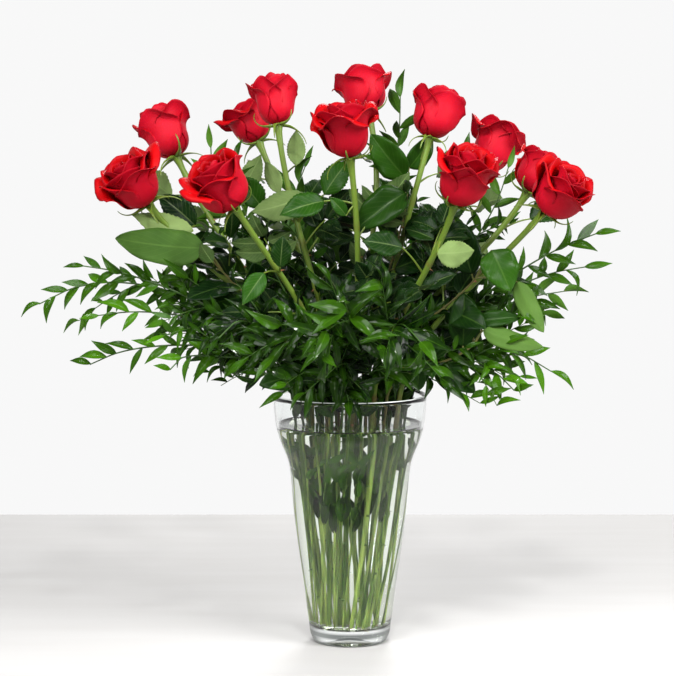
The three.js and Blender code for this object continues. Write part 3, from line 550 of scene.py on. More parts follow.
def growth_tree():
    """Geometry nodes that make round stems along a plant's lines and set its leaf or thorn on each seat."""
    tree = bpy.data.node_groups.new("stems and what grows on them", "GeometryNodeTree")
    for label, kind in (
        ("Lines", "NodeSocketGeometry"), ("Stem sides", "NodeSocketInt"),
        ("Stem finish", "NodeSocketMaterial"), ("Part", "NodeSocketObject"),
        ("Part finish", "NodeSocketMaterial"),
    ):
        tree.interface.new_socket(label, in_out="INPUT", socket_type=kind)
    tree.interface.new_socket("Plant", in_out="OUTPUT", socket_type="NodeSocketGeometry")

    def node(kind):
        return tree.nodes.new(kind)

    def named(label, kind):
        attribute = node("GeometryNodeInputNamedAttribute")
        attribute.data_type = kind
        attribute.inputs["Name"].default_value = label
        return attribute.outputs["Attribute"]

    def join(source, target):
        tree.links.new(source, target)

    given = node("NodeGroupInput")
    split = node("GeometryNodeSeparateGeometry")
    line = node("GeometryNodeMeshToCurve")
    section = node("GeometryNodeCurvePrimitiveCircle")
    section.inputs["Radius"].default_value = 1
    stem = node("GeometryNodeCurveToMesh")
    stem.inputs["Fill Caps"].default_value = True
    smooth = node("GeometryNodeSetShadeSmooth")
    stem_paint = node("GeometryNodeSetMaterial")
    shape = node("GeometryNodeObjectInfo")
    euler = node("FunctionNodeEulerToRotation")
    placed = node("GeometryNodeInstanceOnPoints")
    real = node("GeometryNodeRealizeInstances")
    part_paint = node("GeometryNodeSetMaterial")
    both = node("GeometryNodeJoinGeometry")
    result = node("NodeGroupOutput")
    join(given.outputs["Lines"], split.inputs["Geometry"])
    join(named("seat", "BOOLEAN"), split.inputs["Selection"])
    join(split.outputs["Inverted"], line.inputs["Mesh"])
    join(given.outputs["Stem sides"], section.inputs["Resolution"])
    join(line.outputs["Curve"], stem.inputs["Curve"])
    join(section.outputs["Curve"], stem.inputs["Profile Curve"])
    join(named("girth", "FLOAT"), stem.inputs["Scale"])
    join(stem.outputs["Mesh"], smooth.inputs["Geometry"])
    join(smooth.outputs["Geometry"], stem_paint.inputs["Geometry"])
    join(given.outputs["Stem finish"], stem_paint.inputs["Material"])
    join(given.outputs["Part"], shape.inputs["Object"])
    join(split.outputs["Selection"], placed.inputs["Points"])
    join(shape.outputs["Geometry"], placed.inputs["Instance"])
    join(named("turn", "FLOAT_VECTOR"), euler.inputs["Euler"])
    join(euler.outputs["Rotation"], placed.inputs["Rotation"])
    join(named("size", "FLOAT_VECTOR"), placed.inputs["Scale"])
    join(placed.outputs["Instances"], real.inputs["Geometry"])
    join(real.outputs["Geometry"], part_paint.inputs["Geometry"])
    join(given.outputs["Part finish"], part_paint.inputs["Material"])
    join(stem_paint.outputs["Geometry"], both.inputs["Geometry"])
    join(part_paint.outputs["Geometry"], both.inputs["Geometry"])
    join(both.outputs["Geometry"], result.inputs["Plant"])
    return tree


growth = growth_tree()


def grown(name, shoots, stem_sides, bark, part, part_finish):
    """A plain mesh piece, made by the growth tree from a plant's lines and seats."""
    piece = bpy.data.objects.new(name, shoots.mesh(name))
    bpy.context.scene.collection.objects.link(piece)
    modifier = piece.modifiers.new("growth", "NODES")
    modifier.node_group = growth
    values = {
        "Stem sides": stem_sides, "Stem finish": bark, "Part": part, "Part finish": part_finish,
    }
    for item in growth.interface.items_tree:
        if item.name in values:
            modifier[item.identifier] = values[item.name]
    shaped = piece.evaluated_get(bpy.context.evaluated_depsgraph_get())
    mesh = bpy.data.meshes.new_from_object(shaped)
    piece.modifiers.remove(modifier)
    piece.data = mesh
    mesh.name = name
    for label in ("girth", "seat", "turn", "size"):
        if label in mesh.attributes:
            mesh.attributes.remove(mesh.attributes[label])
    return piece


def measured(line):
    """Lengths from the tip back to each place on a stem, and shares of the way from the rim to the tip."""
    steps = np.linalg.norm(np.diff(line, axis=0), axis=1)
    from_end = np.concatenate([np.cumsum(steps[::-1])[::-1], [0]])
    return from_end, np.clip(1 - from_end / from_end[STEPS_IN_WATER], 0, 1)


def cane(plant, steps):
    """The whole middle line of a stem, from its cut end to its tip. It bows a little in the water."""
    places = np.linspace(0, 1, STEPS_IN_WATER + 1)[:-1, None]
    turn = 2 * math.pi * chance(plant["number"], len(plant["kind"]), 46)
    bow = STEM_BOW * np.sin(math.pi * places) * (math.cos(turn), math.sin(turn), 0)
    straight = plant["foot"] + places * (plant["pulls"][0] - plant["foot"])
    return np.concatenate([straight + bow, bent(plant["pulls"], steps)])


def thinning(line):
    """Shares of the full girth. Stems are thinnest at their cut ends."""
    return np.interp(line[:, 2], (FOOT_HEIGHT, RIM_HEIGHT), (CUT_END_GIRTH, 1))


def swung(way, side, angle):
    """The direction at an angle from one way towards another that is square to it."""
    return way * math.cos(angle) + side * math.sin(angle)


def thorn_shape():
    """A hooked thorn, one millimetre long, growing along x from a long narrow foot."""
    points = []
    for out, along, share in THORN_RINGS:
        for corner in range(THORN_SIDES):
            angle = math.pi * corner / (THORN_SIDES / 2)
            points.append((out, 0.5 * share * math.sin(angle), along + 0.8 * share * math.cos(angle)))
    last = len(points) - THORN_SIDES
    points.append(THORN_POINT)
    faces = [tuple(range(THORN_SIDES))[::-1]]
    for start in range(0, last, THORN_SIDES):
        upper = start + THORN_SIDES
        for corner in range(THORN_SIDES):
            following = (corner + 1) % THORN_SIDES
            faces.append((start + corner, start + following, upper + following, upper + corner))
    for corner in range(THORN_SIDES):
        faces.append((last + corner, last + (corner + 1) % THORN_SIDES, last + THORN_SIDES))
    return mesh_piece("thorn", points, faces)


def stem_finish(name, fresh, old, wet_with_painted_light, roughness):
    """Green bark with fine mottling, darker where it is old, and paler under the water: partly real, as
    soaked stems lose colour, and partly painted light that stands in for the light reaching them through the
    glass.
    """
    bark = Finish(name)
    mottle = bark.noise(bark.place(), BARK_GRAIN, detail=3)
    tone = bark.sum_of("SUBTRACT", bark.mark("tone"), 0.2)
    age = bark.sum_of("MULTIPLY_ADD", mottle, 0.5, tone, clamp=True)
    height = bark.height()
    below_water_level = bark.sum_of("LESS_THAN", height, WATER_LEVEL * MM)
    cut = bark.sum_of("LESS_THAN", height, CUT_HEIGHT * MM)
    grain = bark.noise(bark.place(stretch=(1, 1, 0.03)), BARK_GRAIN, detail=1)
    streaks = bark.sum_of("MULTIPLY_ADD", grain, 2.4, -1.3)
    under_water_darkening = bark.sum_of("MULTIPLY_ADD", bark.mark("tone"), 2, streaks, clamp=True)
    # Painted light and shade under the water: the pale wet colour is partly painted light, and the darker
    # end partly painted shade
    under_water_colour = bark.mix(under_water_darkening, wet_with_painted_light, WET_DARK_AND_PAINTED_SHADE)
    colour = bark.mix(below_water_level, bark.mix(age, fresh, old), under_water_colour)
    bark.shade(Base_Color=bark.mix(cut, colour, CUT_PITH), Roughness=roughness, Specular_IOR_Level=0.3)
    bark.shade(Subsurface_Weight=0.1, Subsurface_Scale=0.002)
    bark.bumps(mottle, strength=0.25, distance=0.0004)
    return bark.material


def wet_tone_and_painted_shade(line, draw):
    """Darker in some stems than in others, and darker towards the top of the water in painted shade from the
    bunch above, so the stems are palest near the foot of the vase.
    """
    return 0.4 * draw + 0.35 * np.clip(line[:, 2] / WATER_LEVEL, 0, 1) ** 1.5


rose_green = stem_finish(
    "rose stem", fresh=(0.105, 0.19, 0.018), old=(0.10, 0.085, 0.018), wet_with_painted_light=(0.57, 0.75, 0.18),
    roughness=0.4)
thorn_red = stem_finish(
    "rose thorn", fresh=(0.24, 0.14, 0.05), old=(0.22, 0.06, 0.03), wet_with_painted_light=(0.4, 0.5, 0.2), roughness=0.4)
thorn = thorn_shape()
for rose in roses:
    number = rose["number"]
    shoots = Shoots()
    line = cane(rose, ROSE_CANE_STEPS)
    from_end, share = measured(line)
    to_joint = np.abs((from_end + JOINT_SHIFT * chance(number, 0, 41)) % JOINT_SPACING - JOINT_SPACING / 2)
    joint = np.exp(-(to_joint / JOINT_SPAN) ** 2)
    girths = ROSE_STEM_RADIUS * thinning(line) * (1 + ROSE_STEM_GAIN * share) + JOINT_SWELL * joint
    girths += HIP_SWELL * np.exp(-((from_end - HIP_DEPTH) / HIP_SPAN) ** 2)
    tones = np.where(share > 0, YOUNG_TONE, wet_tone_and_painted_shade(line, chance(number, 0, 38)))
    shoots.add_line(line, girths, tones + 0.5 * joint * (from_end > JOINTS_FROM))
    for count in range(int(from_end[0] / THORN_SPACING) - 2):
        spot = from_end[0] - (count + 0.5 + 0.4 * chance(number, count, 42)) * THORN_SPACING
        k = int(np.argmax(from_end < spot))
        along = unit(line[k] - line[k - 1])
        first = unit(np.cross(along, (1, 0.3, 0)))
        outward = swung(first, np.cross(along, first), 2 * math.pi * chance(number, count, 43))
        base = line[k - 1] + outward * girths[k] * THORN_SUNK
        shoots.add_seat(base, outward - 0.25 * along, along, THORN_SIZE, tone=0.5)
    rose["shoots"] = shoots

# ---------------------------------------------------------------------------------------------------------
# The sepals. Five narrow green tongues stand round each hip. They folded back when the bloom opened, and
# their long thin ends curl.
SEPAL_COUNT = 5
SEPAL_LENGTH = 24
SEPAL_MORE = 12  # the most that a sepal is longer
SEPAL_WIDTH = 6.6
SEPAL_THICKNESS = 0.6
SEPAL_SEAT = (2.4, -2.6)  # out from the middle of the hip, and up from the seat of the bloom
SEPAL_EDGE = (
    (0, 0.8), (0.08, 1), (0.2, 0.92), (0.34, 0.6), (0.5, 0.34), (0.7, 0.22), (0.9, 0.16), (1, 0.04),
)
SEPAL_STEPS = 17
SEPAL_COLUMNS = 5
SEPAL_TONE = 0.25
# Its slope in radians from the bloom's axis: outwards at first, then up beside the petals or down the stem
SEPAL_SLOPE = 1.5
SLOPE_UP = -0.5
SLOPE_DOWN = 2.4
SLOPE_MORE = 0.8
UP_SHARE = 0.55  # of the sepals


class Sheets:
    """Thin closed sheets, such as petals and leaves, gathered into one mesh."""

    def __init__(self):
        self.points = []
        self.faces = []
        self.rims = []
        self.marks = []
        self.count = 0

    def add(self, grid, thickness, tone):
        """grid is rows of points from base to tip, and thickness is one number or a grid of them."""
        rows, columns = grid.shape[:2]
        normal = np.cross(np.gradient(grid, axis=0), np.gradient(grid, axis=1))
        normal /= np.maximum(np.linalg.norm(normal, axis=2, keepdims=True), TINY)
        half = normal * thickness / 2
        layer = rows * columns
        upper = np.arange(layer).reshape(rows, columns) + self.count
        lower = upper + layer
        rim = np.concatenate([upper[0, :-1], upper[:-1, -1], upper[-1, :0:-1], upper[:0:-1, 0]])
        onward = np.roll(rim, -1)
        self.points.append(np.concatenate([(grid + half).reshape(-1, 3), (grid - half).reshape(-1, 3)]))
        top = np.stack([upper[:-1, :-1], upper[1:, :-1], upper[1:, 1:], upper[:-1, 1:]], axis=2)
        back = np.stack([lower[:-1, :-1], lower[:-1, 1:], lower[1:, 1:], lower[1:, :-1]], axis=2)
        both = np.concatenate([top.reshape(-1, 4), back.reshape(-1, 4)])
        edge = np.stack([rim, onward, onward + layer, rim + layer], axis=1)
        self.faces.append(np.concatenate([both, edge]))
        self.rims.append(np.arange(len(both) + len(edge)) >= len(both))
        across, along = np.meshgrid(np.linspace(0, 1, columns), np.linspace(0, 1, rows))
        under = np.repeat([0, 1], layer)
        self.marks.append(np.stack([
            np.tile(along.reshape(-1), 2), np.tile(across.reshape(-1), 2), under, np.full(layer * 2, tone),
        ]))
        self.count += layer * 2

    def piece(self, name, finish):
        points = (np.concatenate(self.points) * MM).astype(np.float32)
        faces = np.concatenate(self.faces).astype(np.int32)
        mesh = bpy.data.meshes.new(name)
        mesh.vertices.add(len(points))
        mesh.vertices.foreach_set("co", points.reshape(-1))
        mesh.loops.add(faces.size)
        mesh.loops.foreach_set("vertex_index", faces.reshape(-1))
        mesh.polygons.add(len(faces))
        mesh.polygons.foreach_set("loop_start", np.arange(0, faces.size, 4, dtype=np.int32))
        mesh.update(calc_edges=True)
        sharp = mesh.attributes.new("sharp_face", "BOOLEAN", "FACE")
        sharp.data.foreach_set("value", np.concatenate(self.rims))
        for label, values in zip(("along", "across", "under", "tone"), np.concatenate(self.marks, axis=1)):
            mark = mesh.attributes.new(label, "FLOAT", "POINT")
            mark.data.foreach_set("value", values.astype(np.float32))
        mesh.materials.append(finish)
        piece = bpy.data.objects.new(name, mesh)
        bpy.context.scene.collection.objects.link(piece)
        return piece


def blade_grid(centres, side, half_widths, columns, lift):
    """Rows of points across a leaf. lift(along, across) raises them along the leaf's own upward normal."""
    run = np.gradient(centres, axis=0)
    normal = np.cross(side, run)
    normal /= np.linalg.norm(normal, axis=1, keepdims=True)
    along = np.linspace(0, 1, len(centres))[:, None]
    across = np.linspace(1, -1, columns)[None, :]
    grid = centres[:, None] + side * (half_widths[:, None] * across)[..., None]
    return grid + normal[:, None] * (lift(along, across) + 0 * (along + across))[..., None]


def outline(edge, places, width):
    """Half widths at places along a leaf or sepal, from its edge as shares of its length and width."""
    along, share = zip(*edge)
    return np.interp(places, along, share) * width / 2


def bloom_axes(rose):
    """Two directions square to the bloom's axis."""
    first = unit(np.cross(rose["axis"], (0, 0, 1) if abs(rose["axis"][2]) < 0.95 else (1, 0, 0)))
    return first, np.cross(rose["axis"], first)


for rose in roses:
    number = rose["number"]
    first, second = bloom_axes(rose)
    sheets = Sheets()
    for sepal in range(SEPAL_COUNT):
        turned_on, longer, folded, curled, cupped = (chance(number, sepal, trait) for trait in range(5, 10))
        outward = swung(first, second, 2 * math.pi * (sepal + 0.5 * turned_on) / SEPAL_COUNT)
        step = (SEPAL_LENGTH + SEPAL_MORE * longer) / (SEPAL_STEPS - 1)
        upwards = folded < UP_SHARE
        last_slope = (SLOPE_UP if upwards else SLOPE_DOWN) + SLOPE_MORE * curled
        places = np.linspace(0, 1, SEPAL_STEPS)
        slope = SEPAL_SLOPE + (last_slope - SEPAL_SLOPE) * places ** (2 if upwards else 1.2)
        out = SEPAL_SEAT[0] + step * np.cumsum(np.sin(slope))
        up = SEPAL_SEAT[1] + step * np.cumsum(np.cos(slope))
        centres = rose["tip"] + out[:, None] * outward + up[:, None] * rose["axis"]
        side = unit(np.cross(outward, rose["axis"]))
        cup = 0.35 + 0.5 * cupped
        widths = outline(SEPAL_EDGE, places, SEPAL_WIDTH)
        grid = blade_grid(
            centres, side, widths, SEPAL_COLUMNS, lambda along, across: cup * widths[:, None] * across ** 2)
        sheets.add(grid, SEPAL_THICKNESS, SEPAL_TONE)
    sepals = sheets.piece(f"rose_{number:02d}_sepals", rose_green)
    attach(sepals, "root")
    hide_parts(f"rose_{number:02d}_stem")

# ---------------------------------------------------------------------------------------------------------
# The blooms. Each is a spiral of velvety red petals on one hip: tightly rolled at the heart, wider outside,
# where their rims fold back and come to a point. The backs of the petals are pinker and smoother.
PETALS = 23
PETAL_ROWS = 20
PETAL_COLUMNS = 17
PETAL_THICKNESS = 0.5
PETAL_STEP = math.radians(137.5)
# How far round the bloom a petal reaches to either side, in degrees, and what is taken off outside
PETAL_REACH = 150
REACH_LOSS = 92
BOWL = 0.5  # share of a petal's length that rounds out from the hip
# Radians by which petals lean in at the heart and out outside, in a closed bloom and in an open one
HEART_LEAN = 0.34
CLOSED_LEAN = 0.02
OPEN_LEAN = 0.2
# The rims' roll in radians, and where on a petal's half width it is the strongest
HEART_ROLL = 0.2
CLOSED_ROLL = 0.55
OPEN_ROLL = 1.45
FULLEST_ROLL = math.radians(145)
ROLL_PLACE = 0.62
ROLL_SPAN = 0.26
ROLL_FROM = 0.76  # of the petal's length
ROLL_EARLIER = 0.17  # outside, in an open bloom
# Shares of the petal's length: its point, and what its sides are shorter by
POINT_RISE = 0.07
POINT_SPAN = 0.17
HEART_DROP = 0.16
OUTER_DROP = 0.42
# Shares of the bloom's height, for the petals' tops
HEART_TOP = 0.84
MIDDLE_TOP = 0.96
TOP_LOSS = 0.4
# Shares of the bloom's half width
HEART_GIRTH = 0.07
BODY_GIRTH = 0.68
SIDES_OUT = 0.09
OVERLAP = 0.035
WAVE = 0.05
RIPPLE = 0.024
NARROWEST = 0.012
RIM_WAVE = 0.02  # of the bloom's height
PETAL_RED = ((0.32, 0.0001, 0.001), (0.48, 0.0001, 0.002))
PETAL_BACK = ((0.32, 0.0016, 0.007), (0.47, 0.0055, 0.022))
PETAL_VEINS = ((0.28, 0.0001, 0.001), (0.36, 0.003, 0.012))  # of the inner side and of the back
PETAL_EDGE = (0.2, 0.001, 0.006)


def petal_grid(rose, layer, turn, draw):
    """layer runs from 0 at the heart to 1 outside. The petal is followed by its slope from base to rim.
    v runs up it, and u from side to side."""
    radius = rose["spread"]
    height = rose["height"]
    opened = rose["opened"]
    v = np.linspace(0, 1, PETAL_ROWS)[:, None]
    u = np.linspace(-1, 1, PETAL_COLUMNS)[None, :]
    out_from_middle = np.abs(u)
    standing = np.clip(v / BOWL, 0, 1)
    # it leans in at the heart and out outside, and its rim rolls over, most on both sides of its point
    lean = layer * (CLOSED_LEAN + OPEN_LEAN * opened) - HEART_LEAN * (1 - layer) ** 1.5
    roll_start = ROLL_FROM - ROLL_EARLIER * opened * layer
    over = np.clip((v - roll_start) / (1 - roll_start), 0, 1) ** 1.5
    roll = (HEART_ROLL + (CLOSED_ROLL + OPEN_ROLL * opened) * layer ** 1.6) * (0.5 + draw(32))
    strongest = np.exp(-((out_from_middle - ROLL_PLACE) / ROLL_SPAN) ** 2)
    roll = np.minimum(roll * (0.68 + 0.6 * strongest), FULLEST_ROLL)
    slope = lean * np.clip((v - 0.15) / 0.5, 0, 1) + roll * over
    # its sides are shorter than its middle, which ends in a point
    point = POINT_RISE * layer * np.exp(-((u / POINT_SPAN) ** 2))
    side_step = 1 - (HEART_DROP + OUTER_DROP * layer) * out_from_middle ** 2.3
    step = np.where(v > BOWL, side_step + point, standing ** 0.45)
    rise = np.cumsum(np.cos(slope) * step, axis=0)
    if layer < 0.5:
        top = height * (HEART_TOP + (MIDDLE_TOP - HEART_TOP) / 0.5 * layer)
    else:
        top = height * (MIDDLE_TOP - TOP_LOSS * (layer - 0.5) * (0.45 + 0.55 * opened))
    length = top / rise[:, PETAL_COLUMNS // 2].max()
    z = rise * length
    body = radius * (HEART_GIRTH + BODY_GIRTH * layer ** 0.85)
    r = body * (1 - (1 - standing) ** 2.1) ** 0.7 + np.cumsum(np.sin(slope) * step, axis=0) * length
    # its sides turn out, one of them lies over the next petal, and it waves
    side = np.clip((out_from_middle - 0.6) / 0.4, 0, 1) ** 2
    phase = 2 * math.pi * draw(34)
    r = r + radius * SIDES_OUT * layer * side * v ** 2
    r = r + radius * (OVERLAP + 0.02 * layer) * u * np.clip((v - 0.1) * 2, 0, 1)
    r = r + radius * WAVE * np.sin(2.4 * u + phase) * v ** 3 * (0.2 + layer)
    r = r + radius * RIPPLE * np.sin(8 * u + phase) * over * layer
    z = z + height * RIM_WAVE * np.sin(5.2 * u + 2 * phase) * v ** 3
    r = np.maximum(r, radius * NARROWEST)
    spread = math.radians(PETAL_REACH - REACH_LOSS * min(layer * 1.25, 1) + 12 * draw(31))
    widening = np.clip(2 * v, 0, 1)
    width = 0.42 + 0.58 * widening ** 2 * (3 - 2 * widening) - 0.16 * layer * np.clip((v - 0.6) / 0.4, 0, 1)
    angle = turn + u * spread * width
    first, second = bloom_axes(rose)
    outward = np.cos(angle)[..., None] * first + np.sin(angle)[..., None] * second
    return rose["tip"] + r[..., None] * outward + (z + 0 * angle)[..., None] * rose["axis"]


def petal_finish():
    """Red velvet that is deeper inside and pinker on the backs, with fine veins that fan out to the rim."""
    velvet = Finish("rose petal")
    cloud = velvet.noise(velvet.place(), scale=60, detail=3)
    fan = velvet.nodes.new("ShaderNodeCombineXYZ")
    for axis, label, stretch in (("X", "across", 60), ("Y", "along", 4), ("Z", "tone", 9)):
        velvet.put(fan.inputs[axis], velvet.sum_of("MULTIPLY", velvet.mark(label), stretch))
    veins = velvet.noise(fan.outputs["Vector"], scale=1, detail=2)
    inner = velvet.mix(cloud, *PETAL_RED)
    backs = velvet.mix(cloud, *PETAL_BACK)
    sides = velvet.mix(velvet.mark("under"), inner, backs)
    darker = velvet.mix(velvet.mark("under"), *PETAL_VEINS)
    body = velvet.mix(velvet.sum_of("MULTIPLY", veins, 0.5), sides, darker)
    edge = velvet.sum_of("MULTIPLY_ADD", velvet.mark("along"), 16, -15, clamp=True)
    velvet.shade(Base_Color=velvet.mix(velvet.sum_of("MULTIPLY", edge, 0.7), body, PETAL_EDGE))
    velvet.shade(Roughness=0.5, Specular_IOR_Level=0.08)
    velvet.shade(Subsurface_Weight=0.08, Subsurface_Radius=(1, 0.04, 0.03), Subsurface_Scale=0.002)
    velvet.bumps(veins, strength=0.3, distance=0.0006)
    return velvet.material


rose_red = petal_finish()
for rose in roses:
    number = rose["number"]
    sheets = Sheets()
    spin = 2 * math.pi * chance(number, 0, 1)
    for petal in range(PETALS):
        turn = spin - petal * PETAL_STEP + 0.35 * (chance(number, petal, 30) - 0.5)
        layer = petal / (PETALS - 1)
        grid = petal_grid(rose, layer, turn, lambda trait: chance(number, petal, trait))
        sheets.add(grid, PETAL_THICKNESS, chance(number, petal, 35))
    bloom = sheets.piece(f"rose_{number:02d}_petals", rose_red)
    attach(bloom, "root")
    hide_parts(f"rose_{number:02d}_bloom")

# ---------------------------------------------------------------------------------------------------------
# The rose leaves. Oval leaves with saw-toothed edges and a net of veins hang on short stalks. They are deep
# green and a little glossy above, and paler and dull below, where they turn over.
LEAF_THICKNESS = 0.45
LEAF_COLUMNS = 9
LEAF_ARCH = (0.1, 0.08)  # of its length: the least, and the most that a draw adds
LEAF_CUP = (0.12, 0.35)  # rise of its halves from the rib: the least, and the most that a draw adds
LEAF_SWAY = 0.05  # of its length, one side up and the other down
LEAF_RUFFLE = 0.035  # of its width
EDGE_DROOP = 0.3  # of the cup
LEAF_REACH = 12  # how far below its base a leaf's stalk looks for a stem
STALK_GIRTHS = (1.1, 0.8)
STALK_STEPS = 8
BACK_FROM = 25  # depth from which leaves look to the back
BLOOM_ROOM = 0.92  # of a bloom's half width, which leaves keep out of
# How far leaves keep from the glass inside the vase and beside it, over the rim, and from the water's level
GLASS_ROOM = 5
OUTER_ROOM = 6
RIM_ROOM = 3
OVER_WATER = 6
UNDER_WATER = 4
# How low the leaves of the bunch hang: places from left to right and the lowest height there
UNDERSIDE = (
    (-300, 280), (-210, 282), (-165, 274), (-88, 254), (-80, 225), (80, 225), (90, 244), (150, 250),
    (200, 262), (260, 272),
)
# Painted shade: leaves deep in this ellipsoid round the bunch's middle are painted darker, and leaves near
# its outside lighter, up to a limit
HALF_BUNCH = (215, 175, 170)
BUNCH_MIDDLE = 370
DEEP_PAINTED_LIGHT = 0.04
OUTER_PAINTED_LIGHT = 0.8
SPRAYS_ON_A_STEM = 4
OPEN_SIDE = 110  # right of which the bunch is more open, with half as many large leaves
SPRAYS_FROM = 0.1  # shares of the stem above the rim between which the sprays of leaves grow
SPRAYS_TO = 0.74
GOLDEN_TURN = 2.4  # radians round the stem from one leaf or twig to the next
SPRAY_STALK = (42, 22)  # its least length, and the most that a draw adds, as in SPRAY_LEAF
SPRAY_GIRTHS = (1.0, 0.6)
SPRAY_DROOP = 0.18  # of the stalk's length
SPRAY_LEAF = (26, 10)
SPRAY_LEAF_WIDTH = 0.62  # of its length
# The leaves of a spray: the step of the stalk at which each stands, and its side, which is 0 for the last
SPRAY_PLACES = ((4, 1), (4, -1), (6, 1), (6, -1), (7, 0))
COURSE_STEPS = 60  # of a stem's curve over the rim, among which large leaves and sprays find their places
LOOK_BACK_FROM = 60  # depth from which sprays look to the back
ROSE_LEAF_EDGE = (
    (0, 0.06), (0.05, 0.34), (0.14, 0.68), (0.27, 0.93), (0.4, 1), (0.55, 0.94), (0.7, 0.74), (0.82, 0.48),
    (0.92, 0.22), (1, 0.02),
)
ROSE_LEAF_TEETH = 13
ROSE_TOOTH = 0.12
ROWS_TO_A_TOOTH = 3
SMOOTH_ROWS = 25  # of a leaf without teeth
# Each leaf: base, tip, width, and 1 where its upper face looks out of the bunch or -1 where its back does
ROSE_LEAVES = (
    ((-160, -20, 429), (-222, -35, 446), 28, -1), ((-160, 8, 433), (-198, 12, 464), 30, 1),
    ((-112, 20, 471), (-92, 20, 506), 24, -1), ((-74, 28, 466), (-88, 30, 499), 18, 1),
    ((-91, 5, 452), (-117, 0, 484), 28, 1), ((-44, -40, 465), (-99, -50, 449), 34, -1),
    ((-26, -60, 460), (-70, -72, 446), 28, 1), ((-56, 30, 495), (-56, 30, 531), 20, 1),
    ((-26, -28, 466), (-1, -26, 501), 28, 1), ((-4, -66, 446), (-20, -72, 464), 14, 1),
    ((52, -70, 414), (12, -76, 421), 28, 1), ((86, -94, 410), (122, -104, 413), 30, -1),
    ((-69, -88, 396), (-66, -94, 427), 22, 1), ((-85, -92, 390), (-106, -98, 359), 22, 1),
    ((-138, -60, 399), (-150, -66, 418), 16, -1), ((-190, 75, 462), (-228, 98, 484), 32, 1),
    ((-150, 70, 430), (-186, 108, 440), 32, 1), ((-96, 86, 480), (-112, 132, 492), 30, 1),
    ((-70, 84, 430), (-92, 132, 428), 34, 1), ((16, 104, 500), (0, 152, 506), 30, 1),
    ((24, 100, 440), (44, 150, 446), 34, 1), ((92, 40, 486), (118, 82, 502), 28, 1),
    ((136, 84, 450), (166, 128, 458), 32, 1), ((120, 76, 400), (150, 122, 396), 34, 1),
    ((186, 6, 440), (224, 36, 452), 28, 1),
)
DEPTH_SHIFTS = (0, -8, 8, -16, 16, -24, 24, -32, 32)
SAME_PLACE = 0.5
# The darkest leaf green, which random mottling and the painted shade deep in the bunch lead to
LEAF_DARK_AND_PAINTED_SHADE = (0.0015, 0.009, 0.0015)


def settled_shift(nodes, tip):
    """How far in depth the solid leaf was moved to stand clear of its neighbours."""
    for shift in DEPTH_SHIFTS:
        spot = np.array(tip) + (0, shift, 0)
        if any(np.min(np.linalg.norm(node - spot, axis=1)) < SAME_PLACE for node in nodes):
            return shift
    return 0


def solid_points(name):
    return np.array([vertex.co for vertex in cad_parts[name].data.vertices]) / MM


def host_of(hosts, base):
    """The nearest stem and the place on it that the leaf's stalk grows from."""
    hanging = np.array(base) - (0, 0, LEAF_REACH)
    best = None
    for host in hosts:
        for point in bent(host["pulls"], STEM_STEPS)[1:-1]:
            distance = np.linalg.norm(point - hanging)
            if best is None or distance < best[0]:
                best = (distance, host, point)
    return best[1], best[2]


def on_curve(base, bend, tip, t):
    """A place on the curve that sets out from base towards bend and comes round to tip."""
    return (1 - t) ** 2 * base + 2 * t * (1 - t) * bend + t * t * tip


def curve_through(base, bend, tip, count):
    return on_curve(base, bend, tip, np.linspace(0, 1, count)[:, None])


def add_leaf_blade(sheets, leaf, up, edge, teeth, key, light=1):
    """leaf is its base, tip and width, and key the plant and the part for which its traits are drawn."""
    base, tip, width = leaf
    arched, cupped, swayed, ruffled, tone = (chance(*key, trait) for trait in range(51, 56))
    length = np.linalg.norm(tip - base)
    bend = (base + tip) / 2 + up * length * (LEAF_ARCH[0] + LEAF_ARCH[1] * arched)
    rows = teeth * ROWS_TO_A_TOOTH + 1 if teeth else SMOOTH_ROWS
    places = np.linspace(0, 1, rows)
    notch = (places * teeth) % 1
    widths = outline(edge, places, width) * (1 + ROSE_TOOTH * (notch - 0.5) * (teeth > 0))
    side = unit(np.cross(tip - base, up))
    cup = LEAF_CUP[0] + LEAF_CUP[1] * cupped
    sway = LEAF_SWAY * length * (swayed - 0.5)
    wave = LEAF_RUFFLE * width

    def lift(along, across):
        ruffle = wave * np.sin(5 * math.pi * along + 6 * ruffled) * across ** 2
        droop = -EDGE_DROOP * cup * widths[:, None] * across ** 4
        return cup * widths[:, None] * np.abs(across) + ruffle + droop + sway * across * along

    grid = blade_grid(curve_through(base, bend, tip, rows), side, widths, LEAF_COLUMNS, lift)
    # light scales the tone by painted light: painted shade darkens leaves deep in the bunch
    sheets.add(grid, LEAF_THICKNESS, tone * light)


def add_large_leaf(host, root, leaf, shift, edge, teeth, key):
    """One of the leaves that are given one by one, with its stalk."""
    base, tip, width, face = leaf
    facing = 1 if base[1] > BACK_FROM else -1
    base = np.array(base) + (0, shift, 0)
    tip = np.array(tip) + (0, shift, 0)
    up = np.array([0, facing, 0.45]) * face
    add_leaf_blade(host["leaves"], (base, tip, width), up, edge, teeth, key)
    crook = (root + base) / 2 + (0, 0, 0.12 * np.linalg.norm(base - root))
    host["shoots"].add_line(
        curve_through(root, crook, base, STALK_STEPS), np.linspace(*STALK_GIRTHS, STALK_STEPS),
        [STALK_TONE] * STALK_STEPS)


def lowest_at(x):
    """The height down to which leaves hang."""
    return np.interp(x, *zip(*UNDERSIDE))


def painted_light_at(point):
    """Painted shade: leaves are painted darkest deep in the bunch, and lighter quickly near its outside."""
    outness = np.linalg.norm((point - (0, 0, BUNCH_MIDDLE)) / HALF_BUNCH)
    return min(DEEP_PAINTED_LIGHT + (1 - DEEP_PAINTED_LIGHT) * outness ** 3.2, OUTER_PAINTED_LIGHT)


